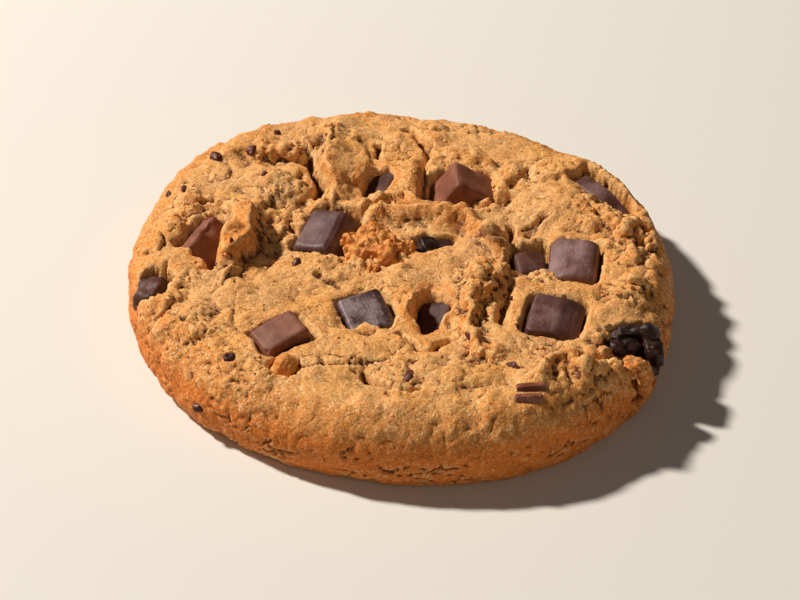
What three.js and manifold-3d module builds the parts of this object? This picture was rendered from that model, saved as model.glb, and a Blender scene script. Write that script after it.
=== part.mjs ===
// A baked chocolate chip cookie: one dough body, fourteen chunks of chocolate and two loose nuggets.
// Millimetres, +Z up. The flat underside rests on Z = 0 and the outline is centred on the Z axis.
import * as THREE from 'three';
import { mergeVertices } from 'three/addons/utils/BufferGeometryUtils.js';
import Module from 'manifold-3d';

const wasm = await Module();
wasm.setup();

// Outline seen from above: a mean radius and the swells that make the round slightly uneven.
const MEAN_RADIUS = 45.4;
const OUTLINE_SWELLS = [
  { waves: 2, sine: -1.53, cosine: 0 },
  { waves: 3, sine: 0.25, cosine: 0 },
  { waves: 4, sine: 0.36, cosine: -0.45 },
];

// Rim section: the widest line runs low on the side, the shoulder rolls in above it, the heel below.
const WIDEST_HEIGHT = 5;
const TOP_HEIGHT = 13.1;
const SHOULDER_DEPTH = 10;
const SHOULDER_POWER = 2.6;
const HEEL_INSET = 2;
const HEEL_POWER = 2.4;
const MIDDLE_DISH = 0.8;
const DISH_START = 0.8;
const DISH_END = 0.35;

// How finely the top and the side are faceted.
const TOP_RINGS = 28;
const TOP_EDGE_INSET = 2.4;
const SPOKES = 6;
const SIDE_HEIGHTS = [9.3, 6.6, 3.8, 1.3, 0];

// Fine unevenness of the baked surface.
const COARSE_GRAIN = { spacing: 5.5, height: 0.5, seed: 11 };
const FINE_GRAIN = { spacing: 2.7, height: 0.42, seed: 23 };
const SIDE_GRAIN = { spacing: 4.2, height: 0.3, seed: 37 };

// Clearance left round every chunk that sits in the dough.
const SEAT_GAP = 0.3;
const WELD = 1e-4;

// Rounded lumps of dough: centre, half sizes along and across, turn in degrees, rise.
const MOUNDS = [
  { x: -20.5, y: 18.2, along: 7.5, across: 7, turn: 0, rise: 1.5 },
  { x: -28.3, y: 0.8, along: 3, across: 2.4, turn: 90, rise: 1.6 },
  { x: -8, y: 32.4, along: 3, across: 2.4, turn: 20, rise: 1.1 },
  { x: 1.5, y: 20.5, along: 5.4, across: 3.8, turn: 90, rise: 1.6 },
  { x: 18.7, y: 20.2, along: 5, across: 2.2, turn: 65, rise: 1.7 },
  { x: 26, y: 12, along: 9.5, across: 9, turn: 0, rise: 2.1 },
  { x: 31.7, y: 5.8, along: 3, across: 2.6, turn: 0, rise: 1.3 },
  { x: 36.5, y: 3, along: 5.5, across: 3, turn: 80, rise: 0.8 },
  { x: 13.8, y: -9, along: 6.6, across: 5.4, turn: 80, rise: 3 },
  { x: 3, y: -5, along: 6.5, across: 4.5, turn: 10, rise: 0.5 },
  { x: 1.4, y: -15.6, along: 3.6, across: 2, turn: 90, rise: 1.8 },
  { x: -8.4, y: -21.4, along: 3.4, across: 2.4, turn: -35, rise: 0.9 },
  { x: 36, y: -14, along: 5, across: 4, turn: 60, rise: 0.9 },
  { x: -26, y: -14, along: 9, across: 6, turn: -20, rise: 0.7 },
  { x: -38, y: 8, along: 6, across: 3, turn: 75, rise: 0.9 },
  { x: -9, y: -25, along: 9, across: 5, turn: -15, rise: 0.5 },
  { x: 9.5, y: -33, along: 8, across: 4, turn: 0, rise: 0.5 },
  { x: -30, y: 27, along: 6, across: 3.4, turn: 45, rise: 0.6 },
];

// Folds and crests of dough that stand up: the line of the crest, half width and rise.
const FOLDS = [
  { crest: [[-24.6, 10], [-26, 3.5], [-27.4, -3], [-27.8, -8.5]], width: 3, rise: 1.1 },
  { crest: [[-24.7, 26], [-18, 27.6], [-15.3, 32]], width: 2.2, rise: 1.2 },
  { crest: [[-13, 32.7], [-12.3, 24], [-11.3, 13]], width: 3, rise: 1.7 },
  { crest: [[-4, 13.7], [0, 15.4], [4.7, 13.4]], width: 1.9, rise: 1.1 },
  { crest: [[-8, 9.8], [3, 9.8], [10.7, 8.9], [14, 4.8], [18, -0.6]], width: 3.6, rise: 1.7 },
  { crest: [[7.6, 27.6], [11.5, 25.8], [15.5, 23.6]], width: 1.8, rise: 1.5 },
  { crest: [[24.7, 19.3], [28.7, 20.6], [32, 15.3]], width: 2, rise: 0.9 },
  { crest: [[10.7, -13], [11, -18], [10.5, -23]], width: 2.3, rise: 1.4 },
  { crest: [[10.7, -24.6], [14.2, -27.8]], width: 1.9, rise: 1 },
  { crest: [[20.6, -34], [25.7, -28.4], [28.2, -31.4]], width: 2.2, rise: 1.3 },
  { crest: [[-35.5, -20.4], [-32, -23.4]], width: 2, rise: 0.6 },
  { crest: [[31.2, 24.4], [36.6, 18.8], [40.4, 11.2]], width: 2, rise: 1.5 },
  { crest: [[28, -31.5], [33, -31.5], [37, -28.5]], width: 2, rise: 0.9 },
];

// Cracks and grooves that sink in: the line of the bottom, half width and depth.
const GROOVES = [
  { bottom: [[-16.7, 33.5], [-17, 28.2], [-14.7, 22.2], [-13.9, 18.9], [-14.9, 15.6]], width: 2.0, depth: 2.2 },
  { bottom: [[-4, 30.3], [-3.3, 26.6]], width: 1.8, depth: 1.4 },
  { bottom: [[1.3, 35.8], [4, 31.9], [4.7, 26.9], [4.8, 22.6], [4.8, 17.6]], width: 1.8, depth: 1.7 },
  { bottom: [[21.9, 19.4], [22.5, 23.8]], width: 1.8, depth: 1.5 },
  { bottom: [[18.3, 2.6], [18.9, 6.4]], width: 1.8, depth: 1.4 },
  { bottom: [[17.4, -9.6], [16.4, -14], [15.8, -18]], width: 1.9, depth: 1.7 },
  { bottom: [[0, -21.8], [3.3, -26.4], [5.2, -26.6], [9, -22.8]], width: 1.8, depth: 1.3 },
  { bottom: [[-24.7, -3], [-22.3, -4], [-20, -2.7], [-17.2, -2.2]], width: 1.8, depth: 1.8 },
  { bottom: [[-13.2, -7.2], [-10.4, -9.2]], width: 1.8, depth: 0.9 },
  { bottom: [[-20, -31], [-16, -30.4], [-8, -29.8], [-1.3, -29]], width: 1.8, depth: 0.7 },
  { bottom: [[-4.7, -33], [-2.3, -35.3], [-0.7, -37.2]], width: 1.8, depth: 0.9 },
  { bottom: [[-32.5, 12.8], [-28.6, 12]], width: 1.8, depth: 1.4 },
  { bottom: [[-37.2, -5], [-38.4, -8], [-37.6, -11.5]], width: 1.8, depth: 1.7 },
  { bottom: [[24.6, 8.2], [21.6, 5.4]], width: 2.1, depth: 1.1 },
  { bottom: [[-29, 5.6], [-30.4, 0], [-30.6, -5]], width: 2, depth: 3.2 },
];

// Plates of dough with steep edges: centre, half sizes along and across, turn in degrees, rise.
const PLATES = [
  { x: -26.6, y: 2.2, along: 9, across: 3.9, turn: 78, rise: 2.4 },
  { x: -9.4, y: 24, along: 8.5, across: 4.6, turn: 78, rise: 1.1 },
  { x: 2.5, y: 9.6, along: 6, across: 2.2, turn: 4, rise: 0.7 },
];
const PLATE_EDGE = 0.62;

// Holes torn in the dough, with steep walls: centre, half sizes, turn in degrees, depth.
const HOLES = [
  { x: -4, y: 20.3, along: 4.2, across: 2.7, turn: 82, depth: 8.5 },
  { x: 5, y: -15, along: 5.2, across: 3.3, turn: 84, depth: 9 },
  { x: 34.2, y: -26, along: 3.4, across: 2.3, turn: 20, depth: 5.6 },
  { x: 37.6, y: -22.8, along: 2.6, across: 2, turn: 0, depth: 4 },
  { x: 17.8, y: -3.2, along: 3, across: 1.7, turn: 84, depth: 4 },
  { x: 2.6, y: 0.4, along: 2.4, across: 1.3, turn: 20, depth: 2.2 },
  { x: 15.9, y: 14.2, along: 1.8, across: 1.4, turn: 40, depth: 1.6 },
];
const HOLE_EDGE = 0.66;

// Soft hollows: centre, half sizes along and across, turn in degrees, depth.
const HOLLOWS = [
  { x: 5.4, y: -19.4, along: 3, across: 2.2, turn: 0, depth: 0.9 },
  { x: 18.7, y: -2.8, along: 4.4, across: 1.9, turn: 84, depth: 4.4 },
  { x: 21.6, y: -5.2, along: 3.6, across: 2.6, turn: 20, depth: 3 },
  { x: 17.4, y: 14.3, along: 2.8, across: 2.4, turn: 40, depth: 2.2 },
  { x: -20.7, y: 4.2, along: 1.8, across: 1.4, turn: 0, depth: 2 },
  { x: 2.6, y: 0.6, along: 2.6, across: 1.6, turn: 20, depth: 2.4 },
  { x: 8.2, y: 3, along: 2.6, across: 1.5, turn: 10, depth: 2 },
  { x: -34.8, y: 3.4, along: 5, across: 2.2, turn: 58, depth: 1 },
  { x: 5.6, y: 16.6, along: 5, across: 3, turn: 65, depth: 2.4 },
  { x: 12, y: 12.9, along: 4.6, across: 2.4, turn: 10, depth: 2 },
  { x: -9, y: -18.2, along: 4, across: 2.4, turn: -50, depth: 0.9 },
  { x: -21, y: 11.4, along: 4, across: 3, turn: 0, depth: 1 },
  { x: 33.2, y: 16.6, along: 6.4, across: 2, turn: -52, depth: 1.6 },
  { x: 30.5, y: -29, along: 3, across: 2, turn: 10, depth: 1.6 },
];

// Blocky chunks of chocolate. Size is width, length and height of the block and round is how far
// its edges are rounded along the same three ways. Turn, tip and roll are in degrees.
const CHUNKS = [
  { name: 'chunk_milk_back', tone: 'milk', size: [8.2, 7.2, 8.2], round: [1, 0.9, 1],
    at: [10.7, 18.3, 10.1], turn: 4, tip: 2, roll: 34, draft: 0.05, seed: 101 },
  { name: 'chunk_dark_left', tone: 'dark', size: [6.3, 8.6, 6], round: [0.7, 0.8, 0.8],
    at: [-12.6, 5.1, 10.6], turn: -21, tip: 13, roll: -13, draft: 0.5, seed: 102 },
  { name: 'chunk_milk_left', tone: 'milk', size: [5, 8.4, 6.5], round: [0.8, 0.9, 0.8],
    at: [-32.1, 3.1, 10.5], turn: 148, tip: -14, roll: 42, draft: 0.1, seed: 103 },
  { name: 'chunk_dark_middle', tone: 'dark', size: [7, 8, 5.4], round: [0.6, 0.6, 0.6],
    at: [-5.1, -16.3, 10.3], turn: 22, tip: 14, roll: -10, draft: 0.12, seed: 104 },
  { name: 'chunk_milk_front', tone: 'milk', size: [7.7, 5.9, 6], round: [0.8, 0.8, 0.8],
    at: [-18.5, -23.1, 11.7], turn: 32, tip: 4, roll: -13, draft: 0.2, seed: 105 },
  { name: 'chunk_rounded_right', tone: 'milk', size: [7.6, 9, 6], round: [2.6, 0.8, 1.9],
    at: [28.4, -3.3, 11], turn: -10, tip: 12, roll: -6, draft: 0.1, seed: 106 },
  { name: 'chunk_dark_right', tone: 'dark', size: [7.7, 7.8, 6], round: [1.5, 0.6, 1.1],
    at: [24.4, -18.2, 11.1], turn: -14, tip: 12, roll: 5, draft: 0.25, seed: 107 },
  { name: 'chunk_milk_sunken', tone: 'milk', size: [5, 5.4, 6.6], round: [1, 1.2, 1.3],
    at: [21.4, -1.2, 8.6], turn: 12, tip: 18, roll: -8, draft: 0.3, seed: 108 },
  { name: 'chunk_bar_rim', tone: 'dark', size: [11, 3.4, 6], round: [1.3, 0.7, 0.9],
    at: [34.4, 16.6, 9.4], turn: -52, tip: 8, roll: 5, draft: 0.15, seed: 109 },
  { name: 'chunk_hole_back', tone: 'milk', size: [4.6, 8.6, 5], round: [0.8, 0.9, 0.8],
    at: [-2.6, 20.2, 8.8], turn: -14, tip: 6, roll: -22, draft: 0.2, seed: 110 },
  { name: 'chunk_hole_front', tone: 'milk', size: [5.4, 7.8, 5], round: [0.9, 1, 0.9],
    at: [6.1, -14.6, 7.6], turn: -8, tip: 10, roll: -16, draft: 0.2, seed: 112 },
  { name: 'chunk_crumpled_rim', tone: 'dark', size: [4.6, 5.6, 4.4], round: [1, 1.1, 1],
    at: [-40.1, -8.4, 9.3], turn: -18, tip: 8, roll: -22, draft: 0.2, seed: 114 },
];

// Melted dark chocolate that set in rounded lumps: each lump is a centre and three half sizes.
const LUMPED_CHUNKS = [
  { name: 'chunk_glossy_middle', tone: 'dark', seed: 111, lumps: [
    { at: [4.6, 2.4, 10.8], half: [2.1, 1.8, 1.7] },
    { at: [7.4, 3, 10.4], half: [2.1, 1.3, 1.2] },
  ] },
  { name: 'chunk_glossy_rim', tone: 'dark', seed: 113, lumps: [
    { at: [34.8, -23.2, 11], half: [2.9, 1.5, 1.3] },
    { at: [37.6, -20.8, 11.2], half: [3.2, 1.9, 1.9] },
    { at: [39.4, -22.8, 9], half: [2, 2.9, 2.9] },
    { at: [36.6, -24.4, 7.3], half: [3.6, 2.5, 2] },
  ] },
];

// Loose browned nuggets of dough baked onto the top.
const NUGGETS = [
  { name: 'nugget_browned', seed: 121, detail: 2, ragged: 0.2, lumps: [
    { at: [-4.6, 0.6, 12.9], half: [4.6, 3.6, 2.3] },
    { at: [0.2, 0, 12.5], half: [2.6, 1.6, 1.4] },
    { at: [-4.4, -3.8, 12.4], half: [1.4, 1.7, 1.5] },
  ] },
  { name: 'nugget_bead', seed: 122, detail: 1, ragged: 0.08, lumps: [
    { at: [-17.6, -30, 12.6], half: [1.9, 2, 2] },
  ] },
];

// Chips, flecks and crumbs too small for a solid of their own: they are baked into the dough.
// Those without a height sit on the top surface.
const FLECKS = [
  { x: -31.7, y: 25.5, half: [1.1, 1.4, 0.9] },
  { x: -39.3, y: 16.4, half: [0.6, 0.9, 0.6] },
  { x: -36.7, y: 16.6, half: [0.6, 0.9, 0.6] },
  { x: -25.5, y: 26, half: [0.9, 1.3, 0.9] },
  { x: -22.9, y: 18.8, half: [0.6, 0.6, 0.6] },
  { x: -21.7, y: 35.4, half: [0.8, 0.6, 0.6] },
  { x: -16.9, y: -3.4, half: [0.8, 1.5, 0.8] },
  { x: -26.3, y: -28.4, half: [1, 1.2, 0.8] },
  { x: -31.1, y: -31.3, z: 5.4, half: [0.9, 0.9, 0.9] },
  { x: 1.5, y: -33.4, half: [0.8, 1.4, 0.8] },
  { x: 17.2, y: -30.4, half: [1.4, 0.9, 0.7] },
  { x: 19.7, y: -35.8, half: [2.1, 0.9, 0.8] },
  { x: 19.2, y: -38.4, half: [1.9, 0.8, 0.8] },
  { x: 9.2, y: 12.6, half: [1.1, 1.7, 1.6] },
  { x: 10.7, y: 11.4, half: [1.2, 1, 1.2] },
  { x: 35.3, y: -27.4, z: 10.4, half: [1.6, 1.3, 2.4] },
  { x: 36.7, y: -27.5, z: 9.7, half: [1.6, 1.3, 2.4] },
  { x: 37.8, y: -26.9, z: 8.3, half: [1.3, 1.5, 2.4] },
];
const FLECK_SINK = 0.25;

const COLOURS = {
  dough: { color: 0xc98a45, roughness: 0.85 },
  nugget: { color: 0xc4742a, roughness: 0.8 },
  milk: { color: 0x7a452f, roughness: 0.5 },
  dark: { color: 0x43292a, roughness: 0.42 },
};

// Seeded noise on a square lattice, smooth between its corners and running from -1 to 1.
const LATTICE_X = 374761393;
const LATTICE_Y = 668265263;
const LATTICE_SEED = 1442695041;
const SCRAMBLE = 1274126177;
const SCRAMBLE_SHIFT = 13;
const FOLD_SHIFT = 16;
const WORD_RANGE = 4294967296;

function latticeValue(column, row, seed) {
  let word = Math.imul(column, LATTICE_X) + Math.imul(row, LATTICE_Y) + Math.imul(seed, LATTICE_SEED);
  word = Math.imul(word ^ (word >>> SCRAMBLE_SHIFT), SCRAMBLE);
  word ^= word >>> FOLD_SHIFT;
  return (2 * (word >>> 0)) / WORD_RANGE - 1;
}

function grain(x, y, { spacing, height, seed }) {
  const column = Math.floor(x / spacing);
  const row = Math.floor(y / spacing);
  const fx = THREE.MathUtils.smoothstep(x / spacing - column, 0, 1);
  const fy = THREE.MathUtils.smoothstep(y / spacing - row, 0, 1);
  const near = THREE.MathUtils.lerp(
    latticeValue(column, row, seed), latticeValue(column + 1, row, seed), fx);
  const far = THREE.MathUtils.lerp(
    latticeValue(column, row + 1, seed), latticeValue(column + 1, row + 1, seed), fx);
  return height * THREE.MathUtils.lerp(near, far, fy);
}

// Radius of the widest line at an angle round the cookie.
function outlineRadius(angle) {
  let radius = MEAN_RADIUS;
  for (const { waves, sine, cosine } of OUTLINE_SWELLS) {
    radius += sine * Math.sin(waves * angle) + cosine * Math.cos(waves * angle);
  }
  return radius;
}

// Smooth bell: one in the middle and zero from the given reach outwards.
function bell(share) {
  const rest = Math.max(0, 1 - share * share);
  return rest * rest;
}

function ovalShare(x, y, oval) {
  const turn = THREE.MathUtils.degToRad(oval.turn);
  const dx = x - oval.x;
  const dy = y - oval.y;
  const along = dx * Math.cos(turn) + dy * Math.sin(turn);
  const across = dy * Math.cos(turn) - dx * Math.sin(turn);
  return Math.hypot(along / oval.along, across / oval.across);
}

function distanceToLine(x, y, line) {
  let best = Infinity;
  for (let i = 1; i < line.length; i += 1) {
    const [ax, ay] = line[i - 1];
    const [bx, by] = line[i];
    const reach = (bx - ax) ** 2 + (by - ay) ** 2;
    const share = THREE.MathUtils.clamp(((x - ax) * (bx - ax) + (y - ay) * (by - ay)) / reach, 0, 1);
    best = Math.min(best, Math.hypot(x - ax - share * (bx - ax), y - ay - share * (by - ay)));
  }
  return best;
}

// Height of the top surface above the underside at a point of the plan.
function topHeight(x, y) {
  const radius = Math.hypot(x, y);
  const rim = outlineRadius(Math.atan2(y, x));
  const inset = THREE.MathUtils.clamp((rim - radius) / SHOULDER_DEPTH, 0, 1);
  const shoulder = Math.sqrt(1 - (1 - inset) ** SHOULDER_POWER);
  let height = WIDEST_HEIGHT + (TOP_HEIGHT - WIDEST_HEIGHT) * shoulder;
  height -= MIDDLE_DISH * (1 - THREE.MathUtils.smoothstep(radius / rim, DISH_END, DISH_START));
  for (const mound of MOUNDS) {
    height += mound.rise * bell(ovalShare(x, y, mound));
  }
  for (const fold of FOLDS) {
    height += fold.rise * bell(distanceToLine(x, y, fold.crest) / fold.width);
  }
  for (const groove of GROOVES) {
    height -= groove.depth * bell(distanceToLine(x, y, groove.bottom) / groove.width);
  }
  for (const plate of PLATES) {
    height += plate.rise * (1 - THREE.MathUtils.smoothstep(ovalShare(x, y, plate), PLATE_EDGE, 1));
  }
  for (const hollow of HOLLOWS) {
    height -= hollow.depth * bell(ovalShare(x, y, hollow));
  }
  for (const hole of HOLES) {
    height -= hole.depth * (1 - THREE.MathUtils.smoothstep(ovalShare(x, y, hole), HOLE_EDGE, 1));
  }
  return height + grain(x, y, COARSE_GRAIN) + grain(x, y, FINE_GRAIN);
}

// How far the side stands in from the widest line at a height.
function sideInset(height) {
  if (height >= WIDEST_HEIGHT) {
    const share = (height - WIDEST_HEIGHT) / (TOP_HEIGHT - WIDEST_HEIGHT);
    return SHOULDER_DEPTH * (1 - (1 - share * share) ** (1 / SHOULDER_POWER));
  }
  return HEEL_INSET * (1 - height / WIDEST_HEIGHT) ** HEEL_POWER;
}

// The dough as one closed skin: rings of the top, rings down the side and a flat underside.
function doughGeometry() {
  const positions = [];
  const faces = [];
  const ringStarts = [];
  positions.push(0, 0, topHeight(0, 0));
  ringStarts.push(0);
  for (let ring = 1; ring <= TOP_RINGS; ring += 1) {
    ringStarts.push(positions.length / 3);
    for (let step = 0; step < SPOKES * ring; step += 1) {
      const angle = (2 * Math.PI * step) / (SPOKES * ring);
      const radius = (outlineRadius(angle) - TOP_EDGE_INSET) * (ring / TOP_RINGS);
      const x = radius * Math.cos(angle);
      const y = radius * Math.sin(angle);
      positions.push(x, y, topHeight(x, y));
    }
  }
  const around = SPOKES * TOP_RINGS;
  for (let ring = 1; ring <= TOP_RINGS; ring += 1) {
    const outer = SPOKES * ring;
    const inner = Math.max(1, SPOKES * (ring - 1));
    for (let spoke = 0; spoke < SPOKES; spoke += 1) {
      for (let step = 0; step < ring; step += 1) {
        const a = ringStarts[ring] + ((spoke * ring + step) % outer);
        const b = ringStarts[ring] + ((spoke * ring + step + 1) % outer);
        const c = ringStarts[ring - 1] + ((spoke * (ring - 1) + step) % inner);
        faces.push(a, b, c);
        if (step < ring - 1) {
          const d = ringStarts[ring - 1] + ((spoke * (ring - 1) + step + 1) % inner);
          faces.push(c, b, d);
        }
      }
    }
  }
  let above = ringStarts[TOP_RINGS];
  for (const height of SIDE_HEIGHTS) {
    const below = positions.length / 3;
    for (let step = 0; step < around; step += 1) {
      const angle = (2 * Math.PI * step) / around;
      const across = MEAN_RADIUS * Math.cos(angle);
      const away = MEAN_RADIUS * Math.sin(angle);
      const rough = grain(across + height, away + height, SIDE_GRAIN);
      const radius = outlineRadius(angle) - sideInset(height) + rough;
      positions.push(radius * Math.cos(angle), radius * Math.sin(angle), height);
    }
    for (let step = 0; step < around; step += 1) {
      const next = (step + 1) % around;
      faces.push(above + step, below + step, below + next);
      faces.push(above + step, below + next, above + next);
    }
    above = below;
  }
  const base = positions.length / 3;
  positions.push(0, 0, 0);
  for (let step = 0; step < around; step += 1) {
    faces.push(above + step, base, above + ((step + 1) % around));
  }
  const geometry = new THREE.BufferGeometry();
  geometry.setAttribute('position', new THREE.Float32BufferAttribute(positions, 3));
  geometry.setIndex(faces);
  return geometry;
}

function bareGeometry(geometry) {
  geometry.deleteAttribute('normal');
  geometry.deleteAttribute('uv');
  return mergeVertices(geometry, WELD);
}

// A moulded block with rounded edges and slightly uneven faces, in its place in the cookie.
const BLOCK_STEPS = 3;
const EDGE_MARK = 0.4;
const BLOCK_WOBBLE = 0.14;

function blockGeometry(chunk, grow) {
  const geometry = bareGeometry(new THREE.BoxGeometry(1, 1, 1, BLOCK_STEPS, BLOCK_STEPS, BLOCK_STEPS));
  const place = new THREE.Matrix4().makeRotationFromEuler(new THREE.Euler(
    THREE.MathUtils.degToRad(chunk.tip),
    THREE.MathUtils.degToRad(chunk.roll),
    THREE.MathUtils.degToRad(chunk.turn),
    'ZXY',
  ));
  place.setPosition(...chunk.at);
  const point = new THREE.Vector3();
  const core = new THREE.Vector3();
  const spread = new THREE.Vector3();
  const { position } = geometry.attributes;
  for (let i = 0; i < position.count; i += 1) {
    point.fromBufferAttribute(position, i);
    for (let axis = 0; axis < 3; axis += 1) {
      const half = chunk.size[axis] / 2 + grow;
      const side = Math.sign(point.getComponent(axis));
      const onFace = Math.abs(point.getComponent(axis)) > EDGE_MARK;
      core.setComponent(axis, side * (half - chunk.round[axis]));
      spread.setComponent(axis, onFace ? side : 0);
    }
    spread.normalize();
    for (let axis = 0; axis < 3; axis += 1) {
      const wobble = BLOCK_WOBBLE * latticeValue(i, axis, chunk.seed);
      point.setComponent(axis, core.getComponent(axis) + chunk.round[axis] * spread.getComponent(axis) + wobble);
    }
    const widen = 1 + chunk.draft * (0.5 - point.z / chunk.size[2]);
    point.x *= widen;
    point.y *= widen;
    point.applyMatrix4(place);
    position.setXYZ(i, point.x, point.y, point.z);
  }
  return geometry;
}

// A rounded lump with a seeded uneven skin.
function lumpGeometry({ at, half }, { detail, ragged, seed }, grow) {
  const geometry = bareGeometry(new THREE.IcosahedronGeometry(1, detail));
  const { position } = geometry.attributes;
  const point = new THREE.Vector3();
  for (let i = 0; i < position.count; i += 1) {
    point.fromBufferAttribute(position, i);
    const swell = 1 + ragged * latticeValue(i, 0, seed);
    position.setXYZ(
      i,
      at[0] + point.x * (half[0] * swell + grow),
      at[1] + point.y * (half[1] * swell + grow),
      at[2] + point.z * (half[2] * swell + grow),
    );
  }
  return geometry;
}

// A closed geometry as a solid that can be joined and cut, and back.
function toSolid(geometry) {
  return new wasm.Manifold(new wasm.Mesh({
    numProp: 3,
    vertProperties: new Float32Array(geometry.attributes.position.array),
    triVerts: new Uint32Array(geometry.index.array),
  }));
}

function toGeometry(solid) {
  const mesh = solid.getMesh();
  const geometry = new THREE.BufferGeometry();
  geometry.setAttribute('position', new THREE.BufferAttribute(new Float32Array(mesh.vertProperties), 3));
  geometry.setIndex(new THREE.BufferAttribute(new Uint32Array(mesh.triVerts), 1));
  return geometry;
}

function joinLumps(piece, style, grow) {
  let solid = null;
  for (const lump of piece.lumps) {
    const part = toSolid(lumpGeometry(lump, style, grow));
    solid = solid ? solid.add(part) : part;
  }
  return solid;
}

const group = new THREE.Group();

function addPiece(name, geometry, look) {
  geometry.computeVertexNormals();
  const material = new THREE.MeshStandardMaterial({ ...COLOURS[look], metalness: 0 });
  const mesh = new THREE.Mesh(geometry, material);
  mesh.name = name;
  group.add(mesh);
}

let dough = toSolid(doughGeometry());
for (const { x, y, z, half } of FLECKS) {
  const at = [x, y, z ?? topHeight(x, y) + FLECK_SINK * half[2]];
  dough = dough.add(toSolid(lumpGeometry({ at, half }, { detail: 0, ragged: 0, seed: 0 }, 0)));
}

for (const chunk of CHUNKS) {
  dough = dough.subtract(toSolid(blockGeometry(chunk, SEAT_GAP)));
  addPiece(chunk.name, blockGeometry(chunk, 0), chunk.tone);
}

const LUMP_STYLE = { detail: 1, ragged: 0.06 };
for (const piece of LUMPED_CHUNKS) {
  const style = { ...LUMP_STYLE, seed: piece.seed };
  dough = dough.subtract(joinLumps(piece, style, SEAT_GAP));
  addPiece(piece.name, toGeometry(joinLumps(piece, style, 0)), piece.tone);
}

for (const piece of NUGGETS) {
  dough = dough.subtract(joinLumps(piece, piece, SEAT_GAP));
  addPiece(piece.name, toGeometry(joinLumps(piece, piece, 0)), 'nugget');
}

addPiece('dough', toGeometry(dough), 'dough');

// The middle of the outline goes onto the Z axis.
const bounds = new THREE.Box3().setFromObject(group);
const middle = bounds.getCenter(new THREE.Vector3());
group.position.set(-middle.x, -middle.y, -bounds.min.z);

export default group;
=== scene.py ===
# %% [markdown]
# # A chocolate chip cookie, baked in Blender
# The real thing is one disc of dough, about nine centimetres across and as thick as a finger.
# It rose, cracked and sank in the oven, so its top is a small landscape of folds, hollows and
# crumbs, with blocks of milk and dark chocolate set into it. The underside is flat and toasted.
# This lesson builds the dough as one fine skin, the chocolate as separate blocks, and then the
# chips, crumbs and browning that make it look baked.

# %% Load the frame
import itertools
import math

import bmesh
import bpy
import numpy as np
from mathutils import Euler, Matrix, Vector
from mathutils.bvhtree import BVHTree


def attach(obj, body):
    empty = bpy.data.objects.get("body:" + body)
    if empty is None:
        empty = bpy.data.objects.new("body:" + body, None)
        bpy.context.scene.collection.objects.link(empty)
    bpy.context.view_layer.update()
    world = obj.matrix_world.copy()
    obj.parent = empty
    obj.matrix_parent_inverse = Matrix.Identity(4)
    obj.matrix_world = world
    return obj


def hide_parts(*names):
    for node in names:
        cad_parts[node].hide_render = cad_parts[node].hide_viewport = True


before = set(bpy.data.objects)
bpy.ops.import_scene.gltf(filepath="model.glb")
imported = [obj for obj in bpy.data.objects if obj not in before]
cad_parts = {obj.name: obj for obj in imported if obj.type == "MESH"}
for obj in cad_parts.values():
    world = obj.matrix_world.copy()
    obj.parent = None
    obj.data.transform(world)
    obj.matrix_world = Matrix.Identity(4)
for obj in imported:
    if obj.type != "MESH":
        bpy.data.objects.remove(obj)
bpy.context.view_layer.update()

# %% [markdown]
# ## Sizes
# All sizes are in millimetres, as a baker would measure them, and become metres only when a
# piece is finished. The outline is a circle with a few soft swells. The section has a low widest
# line, a shoulder that rolls in above it and a small heel below.

# %% Sizes of the cookie
MM = 0.001
MEAN_RADIUS = 45.4
# Waves round the outline, and how many millimetres of sine and cosine each one has.
OUTLINE_SWELLS = ((2, -1.53, 0.0), (3, 0.25, 0.0), (4, 0.36, -0.45))
WIDEST_HEIGHT = 5.0
TOP_HEIGHT = 13.1
SHOULDER_DEPTH = 9.0
SHOULDER_POWER = 3.0
HEEL_INSET = 2.0
HEEL_POWER = 2.4
MIDDLE_DISH = 0.8
DISH_START = 0.8
DISH_END = 0.35
TOP_EDGE_INSET = 2.4
OUTLINE_MIDDLE = Vector((-0.0754, 0.1614, 0.0))
print("mean diameter", 2 * MEAN_RADIUS, "mm, height", TOP_HEIGHT, "mm")


# %% [markdown]
# ## Seeded noise
# Nothing on a cookie repeats, but the script has to give the same cookie each time. Each noise
# below turns whole-number cells into fixed random numbers. Smooth noise blends the corners of a
# cell and makes swells. Scattered points make crumbs round each point and cracks between them.

# %% Smooth noise and scattered points
CELL_PRIMES = (374761393, 668265263, 2246822519)
SEED_PRIME = 1442695041
SCRAMBLE = 1274126177
FIRST_SHIFT = np.uint64(13)
SECOND_SHIFT = np.uint64(16)
WORD = 0xFFFFFFFF


def cell_value(cells, seed):
    """A number from 0 to 1 that is always the same for one cell and seed."""
    word = np.full(cells[0].shape, (seed * SEED_PRIME) & WORD, np.uint64)
    for cell, prime in zip(cells, CELL_PRIMES):
        whole = (cell.astype(np.int64) & WORD).astype(np.uint64)
        word = (word + whole * np.uint64(prime)) & np.uint64(WORD)
    word ^= word >> FIRST_SHIFT
    word = (word * np.uint64(SCRAMBLE)) & np.uint64(WORD)
    word ^= word >> SECOND_SHIFT
    return word / (WORD + 1.0)


print("value of one cell:", cell_value([np.array([3.0])], 1))


# %% Smooth noise
def swell(points, spacing, seed):
    """Smooth noise from -1 to 1 at points given as one array for each axis."""
    scaled = [axis / spacing for axis in points]
    floors = [np.floor(axis) for axis in scaled]
    shares = [axis - floor for axis, floor in zip(scaled, floors)]
    eased = [share * share * (3 - 2 * share) for share in shares]
    total = np.zeros(points[0].shape)
    for corner in itertools.product((0, 1), repeat=len(points)):
        weight = np.ones(points[0].shape)
        for step, ease in zip(corner, eased):
            weight *= ease if step else 1 - ease
        cells = [floor + step for floor, step in zip(floors, corner)]
        total += weight * (2 * cell_value(cells, seed) - 1)
    return total


print("noise at one place:", swell([np.array([0.3]), np.array([0.7])], 1.0, 1))

# %% Scattered points
FAR_OFF = 9.0


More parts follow.
